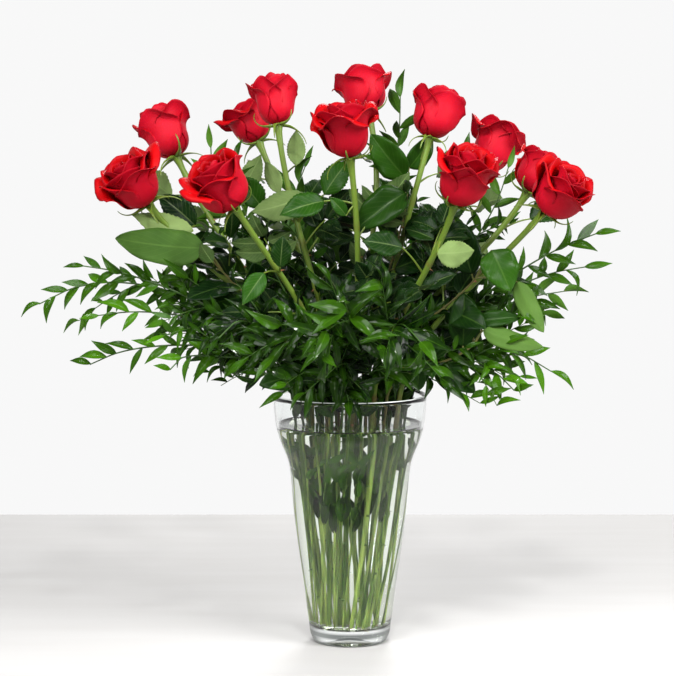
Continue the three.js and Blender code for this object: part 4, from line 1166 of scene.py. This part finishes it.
def stands_free(base, tip):
    """True where a leaf keeps out of the blooms, the glass and the water, and doesn't hang too low."""
    middle = (base + tip) / 2
    if math.hypot(*tip[:2]) > rim_radius and tip[2] < lowest_at(tip[0]):
        return False
    for rose in roses:
        centre = rose["tip"] + rose["axis"] * rose["height"] * 0.5
        if min(np.linalg.norm(middle - centre), np.linalg.norm(tip - centre)) < rose["spread"] * BLOOM_ROOM:
            return False
    low, high = sorted((base[2], tip[2]))
    ends = (base, middle, tip)
    within = all(math.hypot(*end[:2]) < room_at(end[2]) - GLASS_ROOM for end in ends)
    at_level = low < WATER_LEVEL + OVER_WATER and high > WATER_LEVEL - UNDER_WATER
    beside = min(math.hypot(*end[:2]) for end in ends) > rim_radius + OUTER_ROOM
    return low > RIM_HEIGHT + RIM_ROOM or beside or (within and not at_level)


def leaf_finish(name, dark, light, back, rib, ribs, slant, roughness, shine=0.08):
    """A leaf's face and its paler back. Its side veins slope towards the tip by slant, or run along the
    leaf where slant is None."""
    leaf = Finish(name)
    cloud = leaf.noise(leaf.place(), scale=55, detail=4)
    from_rib = leaf.sum_of("ABSOLUTE", leaf.sum_of("MULTIPLY_ADD", leaf.mark("across"), 2, -1))
    course = from_rib
    if slant is not None:
        course = leaf.sum_of("MULTIPLY_ADD", from_rib, -slant, leaf.mark("along"))
    run = leaf.sum_of("MULTIPLY", course, ribs)
    crest = leaf.sum_of("ABSOLUTE", leaf.sum_of("SUBTRACT", leaf.sum_of("FRACT", run), 0.5))
    side_vein = leaf.sum_of("MULTIPLY", leaf.sum_of("GREATER_THAN", crest, 0.44), 0.4)
    veins = leaf.sum_of("MAXIMUM", side_vein, leaf.sum_of("LESS_THAN", from_rib, 0.05))
    # The tone mark holds each leaf's own tone and, for most leaves, painted shade deep in the bunch and
    # painted light outside it
    patch = leaf.sum_of("SUBTRACT", leaf.mark("tone"), 0.3)
    shade = leaf.sum_of("MULTIPLY_ADD", cloud, 0.6, patch, clamp=True)
    face = leaf.mix(leaf.sum_of("MULTIPLY", veins, 0.3), leaf.mix(shade, dark, light), rib)
    underside = leaf.mix(leaf.sum_of("MULTIPLY", veins, 0.5), leaf.mix(shade, back, rib), rib)
    leaf.shade(Base_Color=leaf.mix(leaf.mark("under"), face, underside), Specular_IOR_Level=shine)
    leaf.shade(Roughness=leaf.sum_of("MULTIPLY_ADD", leaf.mark("under"), 0.3, roughness))
    leaf.shade(Subsurface_Weight=0.04, Subsurface_Radius=(0.4, 1, 0.15), Subsurface_Scale=0.0012)
    relief = leaf.sum_of("MULTIPLY_ADD", cloud, 0.5, leaf.sum_of("MULTIPLY", veins, -0.6))
    leaf.bumps(relief, strength=0.35, distance=0.0006)
    return leaf.material


def off_stem(pulls, share, angle):
    """The place at a share of a stem's curve, the stem's direction there, and one that leads off it."""
    line = bent(pulls, COURSE_STEPS)
    k = int(COURSE_STEPS * share)
    tangent = unit(line[k + 1] - line[k - 1])
    first = unit(np.cross(tangent, (0, 1, 0)))
    return line[k], tangent, swung(first, np.cross(tangent, first), angle)


def add_spray_of_leaves(rose, node):
    """A stalk with two pairs of leaves and one at its end, as roses have."""
    number = rose["number"]
    draw = [chance(number + 40, node, trait) for trait in range(90, 95)]
    share = SPRAYS_FROM + (SPRAYS_TO - SPRAYS_FROM) * (node + draw[0]) / SPRAYS_ON_A_STEM
    root, tangent, outward = off_stem(rose["pulls"], share, GOLDEN_TURN * node + 5 * draw[1])
    way = unit(outward + 0.75 * tangent + (0, 0, 0.2))
    length = SPRAY_STALK[0] + SPRAY_STALK[1] * draw[2]
    bend = root + way * length * 0.55
    tip = root + way * length - (0, 0, SPRAY_DROOP * length)
    course = curve_through(root, bend, tip, STALK_STEPS)
    rose["shoots"].add_line(course, np.linspace(*SPRAY_GIRTHS, STALK_STEPS), [STALK_TONE] * STALK_STEPS)
    face = 1 if draw[3] < 0.9 else -1
    up = unit(np.array([draw[4] - 0.5, -0.75 if root[1] < LOOK_BACK_FROM else 0.75, 0.7])) * face
    across = unit(np.cross(way, up))
    for at, hand in SPRAY_PLACES:
        larger = chance(number + 40, node * 7 + at, 99 + hand)
        size = (SPRAY_LEAF[0] + SPRAY_LEAF[1] * larger) * (1.12 if hand == 0 else 0.95)
        run = unit(way * (1 if hand == 0 else 0.45) + across * hand - (0, 0, 0.2))
        base = course[at] + run * 3
        end = base + run * size
        if stands_free(base, end):
            add_leaf_blade(
                rose["leaves"], (base, end, size * SPRAY_LEAF_WIDTH), up, ROSE_LEAF_EDGE, ROSE_LEAF_TEETH,
                (number + 50, node * 7 + at + hand), painted_light_at(base))


rose_leaf_green = leaf_finish(
    "rose leaf", dark=LEAF_DARK_AND_PAINTED_SHADE, light=(0.014, 0.058, 0.003), back=(0.03, 0.06, 0.013),
    rib=(0.16, 0.23, 0.075), ribs=9, slant=0.3, roughness=0.34)
rose_shapes = [solid_points(f"rose_{rose['number']:02d}_stem") for rose in roses]
for rose in roses:
    rose["leaves"] = Sheets()
for count, leaf in enumerate(ROSE_LEAVES):
    host, root = host_of(roses, leaf[0])
    shift = settled_shift(rose_shapes, leaf[1])
    add_large_leaf(host, root, leaf, shift, ROSE_LEAF_EDGE, ROSE_LEAF_TEETH, (90, count))
for rose in roses:
    for node in range(0, SPRAYS_ON_A_STEM, 2 if rose["tip"][0] > OPEN_SIDE else 1):
        add_spray_of_leaves(rose, node)
for rose in roses:
    number = rose["number"]
    stem = grown(f"rose_{number:02d}_cane", rose["shoots"], ROSE_STEM_SIDES, rose_green, thorn, thorn_red)
    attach(stem, "root")
    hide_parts(f"rose_{number:02d}_stem")
    if rose["leaves"].count:
        leaves = rose["leaves"].piece(f"rose_{number:02d}_leaves", rose_leaf_green)
        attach(leaves, "root")
        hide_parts(f"rose_{number:02d}_stem")
bpy.data.objects.remove(thorn)

# ---------------------------------------------------------------------------------------------------------
# The salal. Each stem is thin and tough, and carries broad leathery leaves with a pale middle rib. Many of
# them turn their dull backs to the front.
SALAL_STEM_SIDES = 8
SALAL_CANE_STEPS = 24
SALAL_LEAF_EDGE = (
    (0, 0.08), (0.04, 0.4), (0.12, 0.76), (0.25, 0.97), (0.38, 1), (0.55, 0.94), (0.7, 0.8), (0.82, 0.6),
    (0.91, 0.36), (0.97, 0.17), (1, 0.02),
)
SALAL_LEAF_TEETH = 0
SALAL_SPACING = 17  # of the leaves of each stem besides the ones in the table
SALAL_START = 0.28  # share of the stem over the rim at which they start
SALAL_RUN = 0.6  # share of the stem along which they stand
SALAL_SIZE = (38, 18)  # their least length, and the most that a draw adds
SALAL_WIDTH = 0.6  # of a leaf's length
SALAL_STALK = 7
SALAL_LEAVES = (
    ((-147, -40, 412), (-235, -60, 423), 40, -1), ((57, 40, 483), (22, 42, 527), 34, -1),
    ((62, 40, 492), (86, 44, 525), 24, -1), ((56, -36, 468), (7, -46, 432), 36, 1),
    ((142, -60, 411), (160, -72, 371), 38, 1), ((168, -60, 379), (194, -68, 329), 22, -1),
    ((134, -64, 331), (193, -74, 315), 22, -1), ((128, -50, 338), (173, -54, 343), 18, 1),
    ((-40, -80, 288), (-90, -94, 279), 28, 1), ((68, -66, 270), (70, -72, 314), 16, 1),
    ((-18, 138, 420), (-52, 176, 404), 38, 1), ((-12, 140, 440), (20, 186, 442), 38, 1),
)

salal_bark = stem_finish(
    "salal stem", fresh=(0.10, 0.14, 0.03), old=(0.10, 0.05, 0.02), wet_with_painted_light=(0.53, 0.68, 0.19), roughness=0.5)
salal_green = leaf_finish(
    "salal leaf", dark=LEAF_DARK_AND_PAINTED_SHADE, light=(0.017, 0.062, 0.0035), back=(0.026, 0.066, 0.009),
    rib=(0.065, 0.13, 0.022), ribs=7, slant=0.45, roughness=0.3)
salal_shapes = [solid_points(f"salal_{salal['number']:02d}") for salal in salals]
for salal in salals:
    salal["leaves"] = Sheets()
    salal["shoots"] = Shoots()
    line = cane(salal, SALAL_CANE_STEPS)
    from_end, share = measured(line)
    salal["length"] = from_end[STEPS_IN_WATER]
    tones = np.where(share > 0, 0.3 + 0.3 * share, wet_tone_and_painted_shade(line, chance(salal["number"], 0, 37)))
    salal["shoots"].add_line(line, SALAL_STEM_RADIUS * thinning(line) * (1 - 0.5 * share), tones)
for count, leaf in enumerate(SALAL_LEAVES):
    host, root = host_of(salals, leaf[0])
    shift = settled_shift(salal_shapes, leaf[1])
    add_large_leaf(host, root, leaf, shift, SALAL_LEAF_EDGE, SALAL_LEAF_TEETH, (91, count))
for salal in salals:
    extra = int(salal["length"] / SALAL_SPACING / (2 if salal["tip"][0] > OPEN_SIDE else 1))
    for place in range(extra):
        draw = [chance(salal["number"] + 70, place, trait) for trait in range(100, 104)]
        share = SALAL_START + SALAL_RUN * (place + 0.7 * draw[0]) / extra
        root, tangent, outward = off_stem(salal["pulls"], share, GOLDEN_TURN * place + 2 * draw[1])
        run = unit(outward + 0.6 * tangent)
        size = SALAL_SIZE[0] + SALAL_SIZE[1] * draw[2]
        base = root + run * SALAL_STALK
        end = base + run * size
        up = unit(np.array([draw[3] - 0.5, -0.8 if root[1] < LOOK_BACK_FROM else 0.8, 0.6]))
        if stands_free(base, end):
            add_leaf_blade(
                salal["leaves"], (base, end, size * SALAL_WIDTH), up, SALAL_LEAF_EDGE, SALAL_LEAF_TEETH,
                (salal["number"] + 80, place), painted_light_at(base))
            stalk = curve_through(root, root + run * SALAL_STALK / 2, base, 4)
            salal["shoots"].add_line(stalk, [0.9] * 4, [STALK_TONE] * 4)
for salal in salals:
    name = f"salal_{salal['number']:02d}"
    stem = grown(f"{name}_stem", salal["shoots"], SALAL_STEM_SIDES, salal_bark, None, salal_bark)
    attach(stem, "root")
    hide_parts(name)
    if salal["leaves"].count:
        leaves = salal["leaves"].piece(f"{name}_leaves", salal_green)
        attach(leaves, "root")
        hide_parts(name)

# ---------------------------------------------------------------------------------------------------------
# The ruscus. Each spray is a thin arching stem with side twigs, set all along with narrow pointed leaves
# that stand by turns to either side. The leaves are fresh green, glossy, and have fine veins along them.
RUSCUS_STEM_SIDES = 6
RUSCUS_CANE_STEPS = 24
SPRAY_STEPS = 200  # of a stem's course over the rim, among which its leaves and twigs find their places
STEM_LOSS = 0.55  # of the girth, from the rim to the tip
TIP_SHARE = 0.42  # of a leaf's length, by which the stem goes on beyond its curve
RUSCUS_LEAF_EDGE = (
    (0, 0.08), (0.14, 0.58), (0.34, 0.98), (0.52, 0.94), (0.72, 0.6), (0.88, 0.24), (1, 0.02),
)
RUSCUS_LEAF_ROWS = 8
RUSCUS_LEAF_COLUMNS = 5
# Shares of a leaf's length: its thickness, its rise and droop along its rib, its fold, and its width
RUSCUS_LEAF_THICKNESS = 0.014
RUSCUS_RISE = 0.1
RUSCUS_DROOP = 0.14
RUSCUS_FOLD = 0.1
RUSCUS_WIDTH = 0.3
RUSCUS_CURL = (0.2, 1.9)  # how strongly the one shape bends: the least, and the most that a draw adds
TURNED_FACE_ON = 0.85  # the most of a leaf's slope out of its face's plane that is taken back
TURNED_UP = (1, 1, -0.3)  # for leaves that would hang too low
# The main leaves, which stand to either side of the stem
RUSCUS_SPACING = 11.5
RUSCUS_BARE = 0.3  # of the stem over the rim
RUSCUS_LEAF_SHARE = 0.8  # of the solid leaves' length, which stand for more and smaller ones
LAST_LEAF_SHARE = 0.72
UPRIGHT_FAN = 0.32  # how much longer the leaves of the upright sprays are
LEFT_LEAF_SHARE = 0.88  # of the leaves' length, far to the left
# The side twigs
RUSCUS_TWIGS = 7
TWIG_SPAN = (0.08, 0.74)  # shares of the stem between which twigs grow
TWIG_STEPS = 6
TWIG_GIRTHS = (0.85, 0.4)
TWIG_LEAVES = (5, 3)  # the fewest, and the most that a draw adds
OPEN_FROM = 145  # from the middle of the bunch, past which twigs are few
FEW = 0.3
# Leaves on the lower stem: close over the rim, in the neck and upper water, and in the middle of the water
LOW_LEAVES = 4
LOW_START = 0.005  # share of the stem over the rim
LOW_RUN = 0.34
NECK_LEAVES = 9
NECK_SPAN = (165, 257)  # heights
NECK_LEAF = (20, 12)  # the least length, and the most that a draw adds, as in DROWNED_LEAF
NECK_LEAF_WIDTH = 0.32  # of its length
DROWNED_LEAVES = 4
DROWNED_SPAN = (116, 172)
DROWNED_REACH = 25  # to the left and right of the vase's middle
DROWNED_LEAF = (24, 14)
DROWNED_LEAF_WIDTH = 0.26
# How light the sprays are: each has its own green, and painted light makes the front and outer sprays
# lighter
OWN_SHADE = 0.3  # the most by which one spray is lighter than another
PAINTED_LIGHT_FRONT_FROM = -160  # depth in front of which the sprays get the most painted light
PAINTED_FRONT_LIGHT = 0.8
OUTER_SPRAYS_FROM = 140  # to the left and right of which the sprays are lighter


def ruscus_leaf():
    """One leaf, a millimetre long, growing along x with its face up, folded along its rib and drooping."""
    places = np.linspace(0, 1, RUSCUS_LEAF_ROWS)
    rise = RUSCUS_RISE * np.sin(math.pi * places) - RUSCUS_DROOP * places ** 2
    centres = np.stack([places, 0 * places, rise], axis=1)
    widths = outline(RUSCUS_LEAF_EDGE, places, 1)
    grid = blade_grid(
        centres, np.array([0, -1, 0]), widths, RUSCUS_LEAF_COLUMNS,
        lambda along, across: RUSCUS_FOLD * np.abs(across) * widths[:, None])
    sheets = Sheets()
    sheets.add(grid, RUSCUS_LEAF_THICKNESS, tone=0.5)
    leaf = sheets.piece("ruscus_leaf", None)
    leaf.data.attributes.remove(leaf.data.attributes["tone"])
    return leaf


def add_ruscus_leaf(shoots, base, run, face, length, width, tone, keeps_course=False):
    """face is the way that its upper side should look. The leaf turns to it as far as its stalk lets it."""
    face = unit(face)
    way = unit(run)
    order = len(shoots.points)
    if not keeps_course:
        turned = TURNED_FACE_ON * chance(0, order, 47) ** 0.5
        way = unit(way - turned * np.dot(way, face) * face)
    end = base + way * length
    if math.hypot(*end[:2]) > rim_radius and end[2] < lowest_at(end[0]) and way[2] < 0:
        way = unit(way * TURNED_UP)
    if stands_free(base, base + way * length):
        curl = RUSCUS_CURL[0] + RUSCUS_CURL[1] * chance(0, order, 45)
        shoots.add_seat(base, way, np.cross(np.cross(way, face), way), (length, width, length * curl), tone)


def outward_of(point):
    return unit((point[0], point[1], 0))


def leaf_face(point, draw):
    """The way that a leaf's upper face looks: out of the bunch and a little up."""
    facing = 0.9 if point[1] > 20 else -0.9
    return np.array([1.6 * draw - 0.8, facing, 0.45]) + 0.35 * outward_of(point)


def square_to(direction, run):
    return unit(direction - np.dot(direction, run) * run)


def drawn_out(spray):
    """The whole stem. Its tip goes on a little beyond the curve, among the last small leaves."""
    line = cane(spray, RUSCUS_CANE_STEPS)
    return np.concatenate([line, [line[-1] + unit(line[-1] - line[-2]) * TIP_SHARE * spray["leaf"]]])


def even_course(line):
    """Evenly spaced places on the stem above the rim."""
    above = line[STEPS_IN_WATER:]
    covered = np.concatenate([[0], np.cumsum(np.linalg.norm(np.diff(above, axis=0), axis=1))])
    places = np.linspace(0, covered[-1], SPRAY_STEPS + 1)
    return np.stack([np.interp(places, covered, above[:, axis]) for axis in range(3)], axis=1)


def on_course(spray, share):
    """The place and the direction of a spray's stem at a share of its length above the rim."""
    line = spray["course"]
    k = min(max(int(share * SPRAY_STEPS), 1), SPRAY_STEPS - 1)
    return line[k], unit(line[k + 1] - line[k - 1])


def shade_of(spray, point, draw):
    """Each spray has its own green. The front and outer sprays get painted light, and leaves deep in the
    bunch are painted darkest as painted shade.
    """
    own = OWN_SHADE * chance(spray["number"], 0, 77)
    if spray["tip"][1] < PAINTED_LIGHT_FRONT_FROM:
        own = PAINTED_FRONT_LIGHT
    elif abs(spray["tip"][0]) > OUTER_SPRAYS_FROM:
        own = 0.3 + 1.2 * own
    return (own + 0.45 * draw ** 2) * painted_light_at(point)


def add_main_leaves(spray, shoots, stem_length):
    """Leaves that stand by turns to either side, and one at the tip. The middle ones are the longest."""
    count = round((1 - RUSCUS_BARE) * stem_length / RUSCUS_SPACING)
    for place in range(count):
        draw = [chance(spray["number"], place, trait) for trait in range(21, 28)]
        last = place == count - 1
        share = 1 if last else RUSCUS_BARE + (1 - RUSCUS_BARE) * (place + 0.6 * draw[5]) / count
        point, tangent = on_course(spray, share)
        sky = outward_of(point) if abs(tangent[2]) > 0.8 else np.array([0, 0, 1.0])
        above = square_to(sky, tangent) * (1 if place % 2 == 0 else -1)
        twist = (draw[0] - 0.5) * (1.1 + 2.6 * abs(tangent[1]))
        lateral = swung(above, np.cross(tangent, above), twist)
        spread = 0.08 if last else 0.5 + 0.35 * draw[1]
        taper = 0.66 + 0.34 * math.sin(math.pi * min(1.25 - share, 0.7))
        length = spray["leaf"] * taper * (0.85 + 0.3 * draw[2])
        length *= LAST_LEAF_SHARE if last else RUSCUS_LEAF_SHARE
        length *= 1 + UPRIGHT_FAN * np.clip((tangent[2] - 0.6) / 0.3, 0, 1)
        length *= LEFT_LEAF_SHARE if point[0] < -OUTER_SPRAYS_FROM else 1
        run = swung(tangent, lateral, spread) * length
        run[2] -= length * (0.04 + 0.12 * draw[3])
        width = length * RUSCUS_WIDTH * (0.9 + 0.25 * draw[5])
        shade = shade_of(spray, point, draw[6])
        add_ruscus_leaf(
            shoots, point, run, leaf_face(point, draw[4]), length, width, shade, keeps_course=last)


def add_twig(spray, shoots, twig):
    """A side twig with its own small leaves. None grows where it would hang too low."""
    draw = [chance(spray["number"], twig, trait) for trait in range(60, 66)]
    share = TWIG_SPAN[0] + (TWIG_SPAN[1] - TWIG_SPAN[0]) * (twig + 0.7 * draw[0]) / RUSCUS_TWIGS
    base, tangent = on_course(spray, share)
    if math.hypot(*base[:2]) > OPEN_FROM and draw[4] > FEW:
        return
    first = square_to(np.array([0, 0, 1.0]) if abs(tangent[2]) < 0.9 else outward_of(base), tangent)
    lateral = swung(first, np.cross(tangent, first), GOLDEN_TURN * twig + 1.2 * draw[1])
    way = unit(tangent * 0.8 + lateral * 0.75 + outward_of(base) * 0.2)
    length = spray["leaf"] * (1.2 + 1.0 * draw[2]) * (1.2 - 0.65 * share)
    bend = base + way * length * 0.5
    tip = base + way * length - (0, 0, (0.05 + 0.25 * draw[5]) * length)
    if tip[2] < lowest_at(tip[0]):
        return
    shoots.add_line(
        curve_through(base, bend, tip, TWIG_STEPS), np.linspace(*TWIG_GIRTHS, TWIG_STEPS),
        [STALK_TONE] * TWIG_STEPS)
    places = TWIG_LEAVES[0] + int(TWIG_LEAVES[1] * draw[3])
    for place in range(places + 1):
        trait = [chance(spray["number"] * 31 + twig, place, kind) for kind in range(70, 77)]
        point = on_curve(base, bend, tip, min(0.15 + 0.85 * place / places, 1))
        face = leaf_face(point, trait[0]) + (0, 0, 1.2 * trait[5] - 0.6)
        side = square_to(np.cross(face, way), way) * (1 if place % 2 == 0 else -1)
        spread = 0.1 if place == places else 0.5 + 0.5 * trait[1]
        size = spray["leaf"] * (0.46 + 0.28 * trait[2])
        run = swung(way, side, spread) * size
        run[2] -= size * 0.25 * trait[3]
        width = size * RUSCUS_WIDTH * (0.85 + 0.3 * trait[4])
        add_ruscus_leaf(shoots, point, run, face, size, width, shade_of(spray, point, trait[6]))


def add_low_leaves(spray, shoots):
    """Broad leaves low on the stem, which close the bunch over the rim."""
    for place in range(LOW_LEAVES):
        draw = [chance(spray["number"] + 200, place, trait) for trait in range(80, 86)]
        point, tangent = on_course(spray, LOW_START + LOW_RUN * (place + draw[0]) / LOW_LEAVES)
        first = square_to(outward_of(point), tangent)
        lateral = swung(first, np.cross(tangent, first), GOLDEN_TURN * place + 1.5 * draw[1])
        run = swung(tangent, lateral, 0.45 + 0.9 * draw[2])
        size = spray["leaf"] * (0.6 + 0.3 * draw[3])
        # Painted shade: the low leaves under the bunch are painted darker
        shade = 0.6 * shade_of(spray, point, draw[5])
        add_ruscus_leaf(shoots, point, run, leaf_face(point, draw[4]), size, size * RUSCUS_WIDTH, shade)


def under_rim(spray, span, share):
    """A place on a stem in the vase, at a share of a span of heights, and the way that the stem runs."""
    line = spray["line"][:STEPS_IN_WATER + 1]
    height = span[0] + (span[1] - span[0]) * share
    point = np.array([np.interp(height, line[:, 2], line[:, axis]) for axis in range(3)])
    return point, unit(spray["pulls"][0] - spray["foot"])


def add_neck_leaves(spray, shoots):
    """Leaves at the foot of the sprays: painted dark in the neck of the vase as painted shade under the
    bunch, and painted lighter in the upper water as painted light for the light through the glass.
    """
    for place in range(NECK_LEAVES):
        draw = [chance(spray["number"] + 300, place, trait) for trait in range(90, 97)]
        point, upwards = under_rim(spray, NECK_SPAN, draw[0] ** 0.5)
        spread = (0.3 + 0.7 * draw[6]) * (1 if draw[1] > 0.5 else -1)
        run = swung(upwards, np.array([1, draw[2] - 0.8, 0]), spread)
        size = NECK_LEAF[0] + NECK_LEAF[1] * draw[3]
        # Painted light in the water, for light through the glass, and painted shade in the neck
        tone = 0.8 + 0.8 * draw[5] if point[2] < WATER_LEVEL else 0.5 * draw[5]
        add_ruscus_leaf(
            shoots, point, run, leaf_face(point, draw[4]), size, size * NECK_LEAF_WIDTH, tone,
            keeps_course=True)


def add_drowned_leaves(spray, shoots):
    """Leaves that lie close along the stem, half way down the water. Most of them are dark."""
    for place in range(DROWNED_LEAVES):
        draw = [chance(spray["number"] + 400, place, trait) for trait in range(110, 116)]
        point, upwards = under_rim(spray, DROWNED_SPAN, draw[0] ** 0.8)
        if abs(point[0]) > DROWNED_REACH:
            continue
        run = swung(upwards, np.array([1, draw[2] - 0.5, 0]), 0.3 * draw[1] - 0.15)
        size = DROWNED_LEAF[0] + DROWNED_LEAF[1] * draw[3]
        tone = 0.2 + 0.9 * draw[5] ** 2
        add_ruscus_leaf(
            shoots, point, run, leaf_face(point, draw[4]), size, size * DROWNED_LEAF_WIDTH, tone,
            keeps_course=True)


ruscus_bark = stem_finish(
    "ruscus stem", fresh=(0.04, 0.10, 0.012), old=(0.02, 0.05, 0.008), wet_with_painted_light=(0.58, 0.76, 0.20),
    roughness=0.45)
ruscus_green = leaf_finish(
    "ruscus leaf", dark=(0.0008, 0.006, 0.0005), light=(0.05, 0.16, 0.003), back=(0.018, 0.055, 0.004),
    rib=(0.08, 0.2, 0.015), ribs=7, slant=None, roughness=0.13, shine=0.12)
leaf_shape = ruscus_leaf()
for spray in sprays:
    shoots = Shoots()
    line = drawn_out(spray)
    spray["line"] = line
    spray["course"] = even_course(line)
    from_end, share = measured(line)
    tones = np.where(share > 0, 0.2 + 0.2 * share, wet_tone_and_painted_shade(line, chance(spray["number"], 0, 36)))
    shoots.add_line(line, RUSCUS_STEM_RADIUS * thinning(line) * (1 - STEM_LOSS * share), tones)
    add_main_leaves(spray, shoots, from_end[STEPS_IN_WATER])
    add_low_leaves(spray, shoots)
    add_neck_leaves(spray, shoots)
    for twig in range(RUSCUS_TWIGS):
        add_twig(spray, shoots, twig)
    add_drowned_leaves(spray, shoots)
    name = f"ruscus_{spray['number']:02d}"
    piece = grown(f"{name}_spray", shoots, RUSCUS_STEM_SIDES, ruscus_bark, leaf_shape, ruscus_green)
    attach(piece, "root")
    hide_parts(name)
bpy.data.objects.remove(leaf_shape)

# ---------------------------------------------------------------------------------------------------------
# The table, the light and the camera. These are not part of the vase of roses.
TABLE_BACK = 0.75  # in metres, like every length in this section
TABLE_HALF = 2.5
TABLE_FRONT = -0.35
TABLE_TONES = ((0.41, 0.40, 0.39), (0.465, 0.46, 0.455))
# Each lamp: its place, the side of its square, and its power in watts
LAMPS = (
    ("front softbox", (-1.0, -1.7, 2.1), 1.3, 72), ("high window", (0.1, -1.3, 1.75), 0.16, 20),
    ("side softbox", (1.6, -1.1, 1.5), 1.2, 76), ("low softbox", (-0.9, -1.9, 0.55), 0.45, 16),
    ("back softbox", (0.3, 1.9, 1.9), 0.8, 34),
)
LAMPS_AIM = (0, 0, 0.35)
CAMERA_PLACE = (0, -2.2, 0.52)
CAMERA_PITCH = math.radians(5.27)
CAMERA_LENS = 113.75
FRAME_HEIGHT = 676
AXIS_OFFSET = 13  # pixels from the middle of the picture to the middle of the vase
WALL_TOP = math.sin(math.radians(20))
CEILING_FROM = math.sin(math.radians(42))
WALL_LIGHT = 0.94  # of the white backdrop, behind the vase
ROOM_LIGHT = 0.42  # on the other side
ROOM_DEPTH = 0.6
SIDES_FROM = 0.4  # how far sideways the white backdrop reaches before the room grows dim
SIDE_LIGHT = 0.7
CEILING_LIGHT = 0.22


def table_top():
    mesh = bpy.data.meshes.new("table")
    mesh.from_pydata([
        (-TABLE_HALF, TABLE_FRONT, 0), (TABLE_HALF, TABLE_FRONT, 0),
        (TABLE_HALF, TABLE_BACK, 0), (-TABLE_HALF, TABLE_BACK, 0),
    ], [], [(0, 1, 2, 3)])
    paint = Finish("pale table")
    grain = paint.noise(paint.place(stretch=(1.2, 9, 1)), scale=3, detail=3)
    paint.shade(Base_Color=paint.mix(grain, *TABLE_TONES), Roughness=0.55)
    mesh.materials.append(paint.material)
    sheet = bpy.data.objects.new("table", mesh)
    bpy.context.scene.collection.objects.link(sheet)


def soft_box(name, place, size, power):
    lamp = bpy.data.lights.new(name, "AREA")
    lamp.size = size
    lamp.energy = power
    light = bpy.data.objects.new(name, lamp)
    light.location = place
    light.rotation_euler = (Vector(LAMPS_AIM) - Vector(place)).to_track_quat("-Z", "Y").to_euler()
    bpy.context.scene.collection.objects.link(light)


table_top()
for lamp in LAMPS:
    soft_box(*lamp)
world = bpy.data.worlds.new("white studio with a dim ceiling")
world.use_nodes = True
sky = world.node_tree.nodes
way_up = sky.new("ShaderNodeTexCoord")
height = sky.new("ShaderNodeSeparateXYZ")
sideways = sky.new("ShaderNodeMath")
sideways.operation = "ABSOLUTE"
walls = sky.new("ShaderNodeMapRange")
sides = sky.new("ShaderNodeMapRange")
ceiling = sky.new("ShaderNodeMapRange")
round_about = sky.new("ShaderNodeMath")
round_about.operation = "MULTIPLY"
for step, values in (
    (walls, (-ROOM_DEPTH, ROOM_DEPTH, ROOM_LIGHT, WALL_LIGHT)), (sides, (SIDES_FROM, 1, 1, SIDE_LIGHT)),
    (ceiling, (WALL_TOP, CEILING_FROM, 1, CEILING_LIGHT)),
):
    step.interpolation_type = "SMOOTHSTEP"
    for label, value in zip(("From Min", "From Max", "To Min", "To Max"), values):
        step.inputs[label].default_value = value
for source, target in (
    (way_up.outputs["Generated"], height.inputs[0]), (height.outputs["Y"], walls.inputs["Value"]),
    (height.outputs["X"], sideways.inputs[0]), (sideways.outputs[0], sides.inputs["Value"]),
    (walls.outputs["Result"], round_about.inputs[0]), (sides.outputs["Result"], round_about.inputs[1]),
    (height.outputs["Z"], ceiling.inputs["Value"]), (round_about.outputs[0], ceiling.inputs["To Min"]),
    (ceiling.outputs["Result"], sky["Background"].inputs["Strength"]),
):
    world.node_tree.links.new(source, target)
sky["Background"].inputs["Color"].default_value = (1, 1, 1, 1)
bpy.context.scene.world = world
bpy.context.scene.view_settings.view_transform = "Standard"

lens = bpy.data.cameras.new("camera")
lens.lens = CAMERA_LENS
lens.shift_x = -AXIS_OFFSET / FRAME_HEIGHT
camera = bpy.data.objects.new("camera", lens)
camera.location = CAMERA_PLACE
camera.rotation_euler = (math.pi / 2 - CAMERA_PITCH, 0, 0)
bpy.context.scene.collection.objects.link(camera)
bpy.context.scene.camera = camera
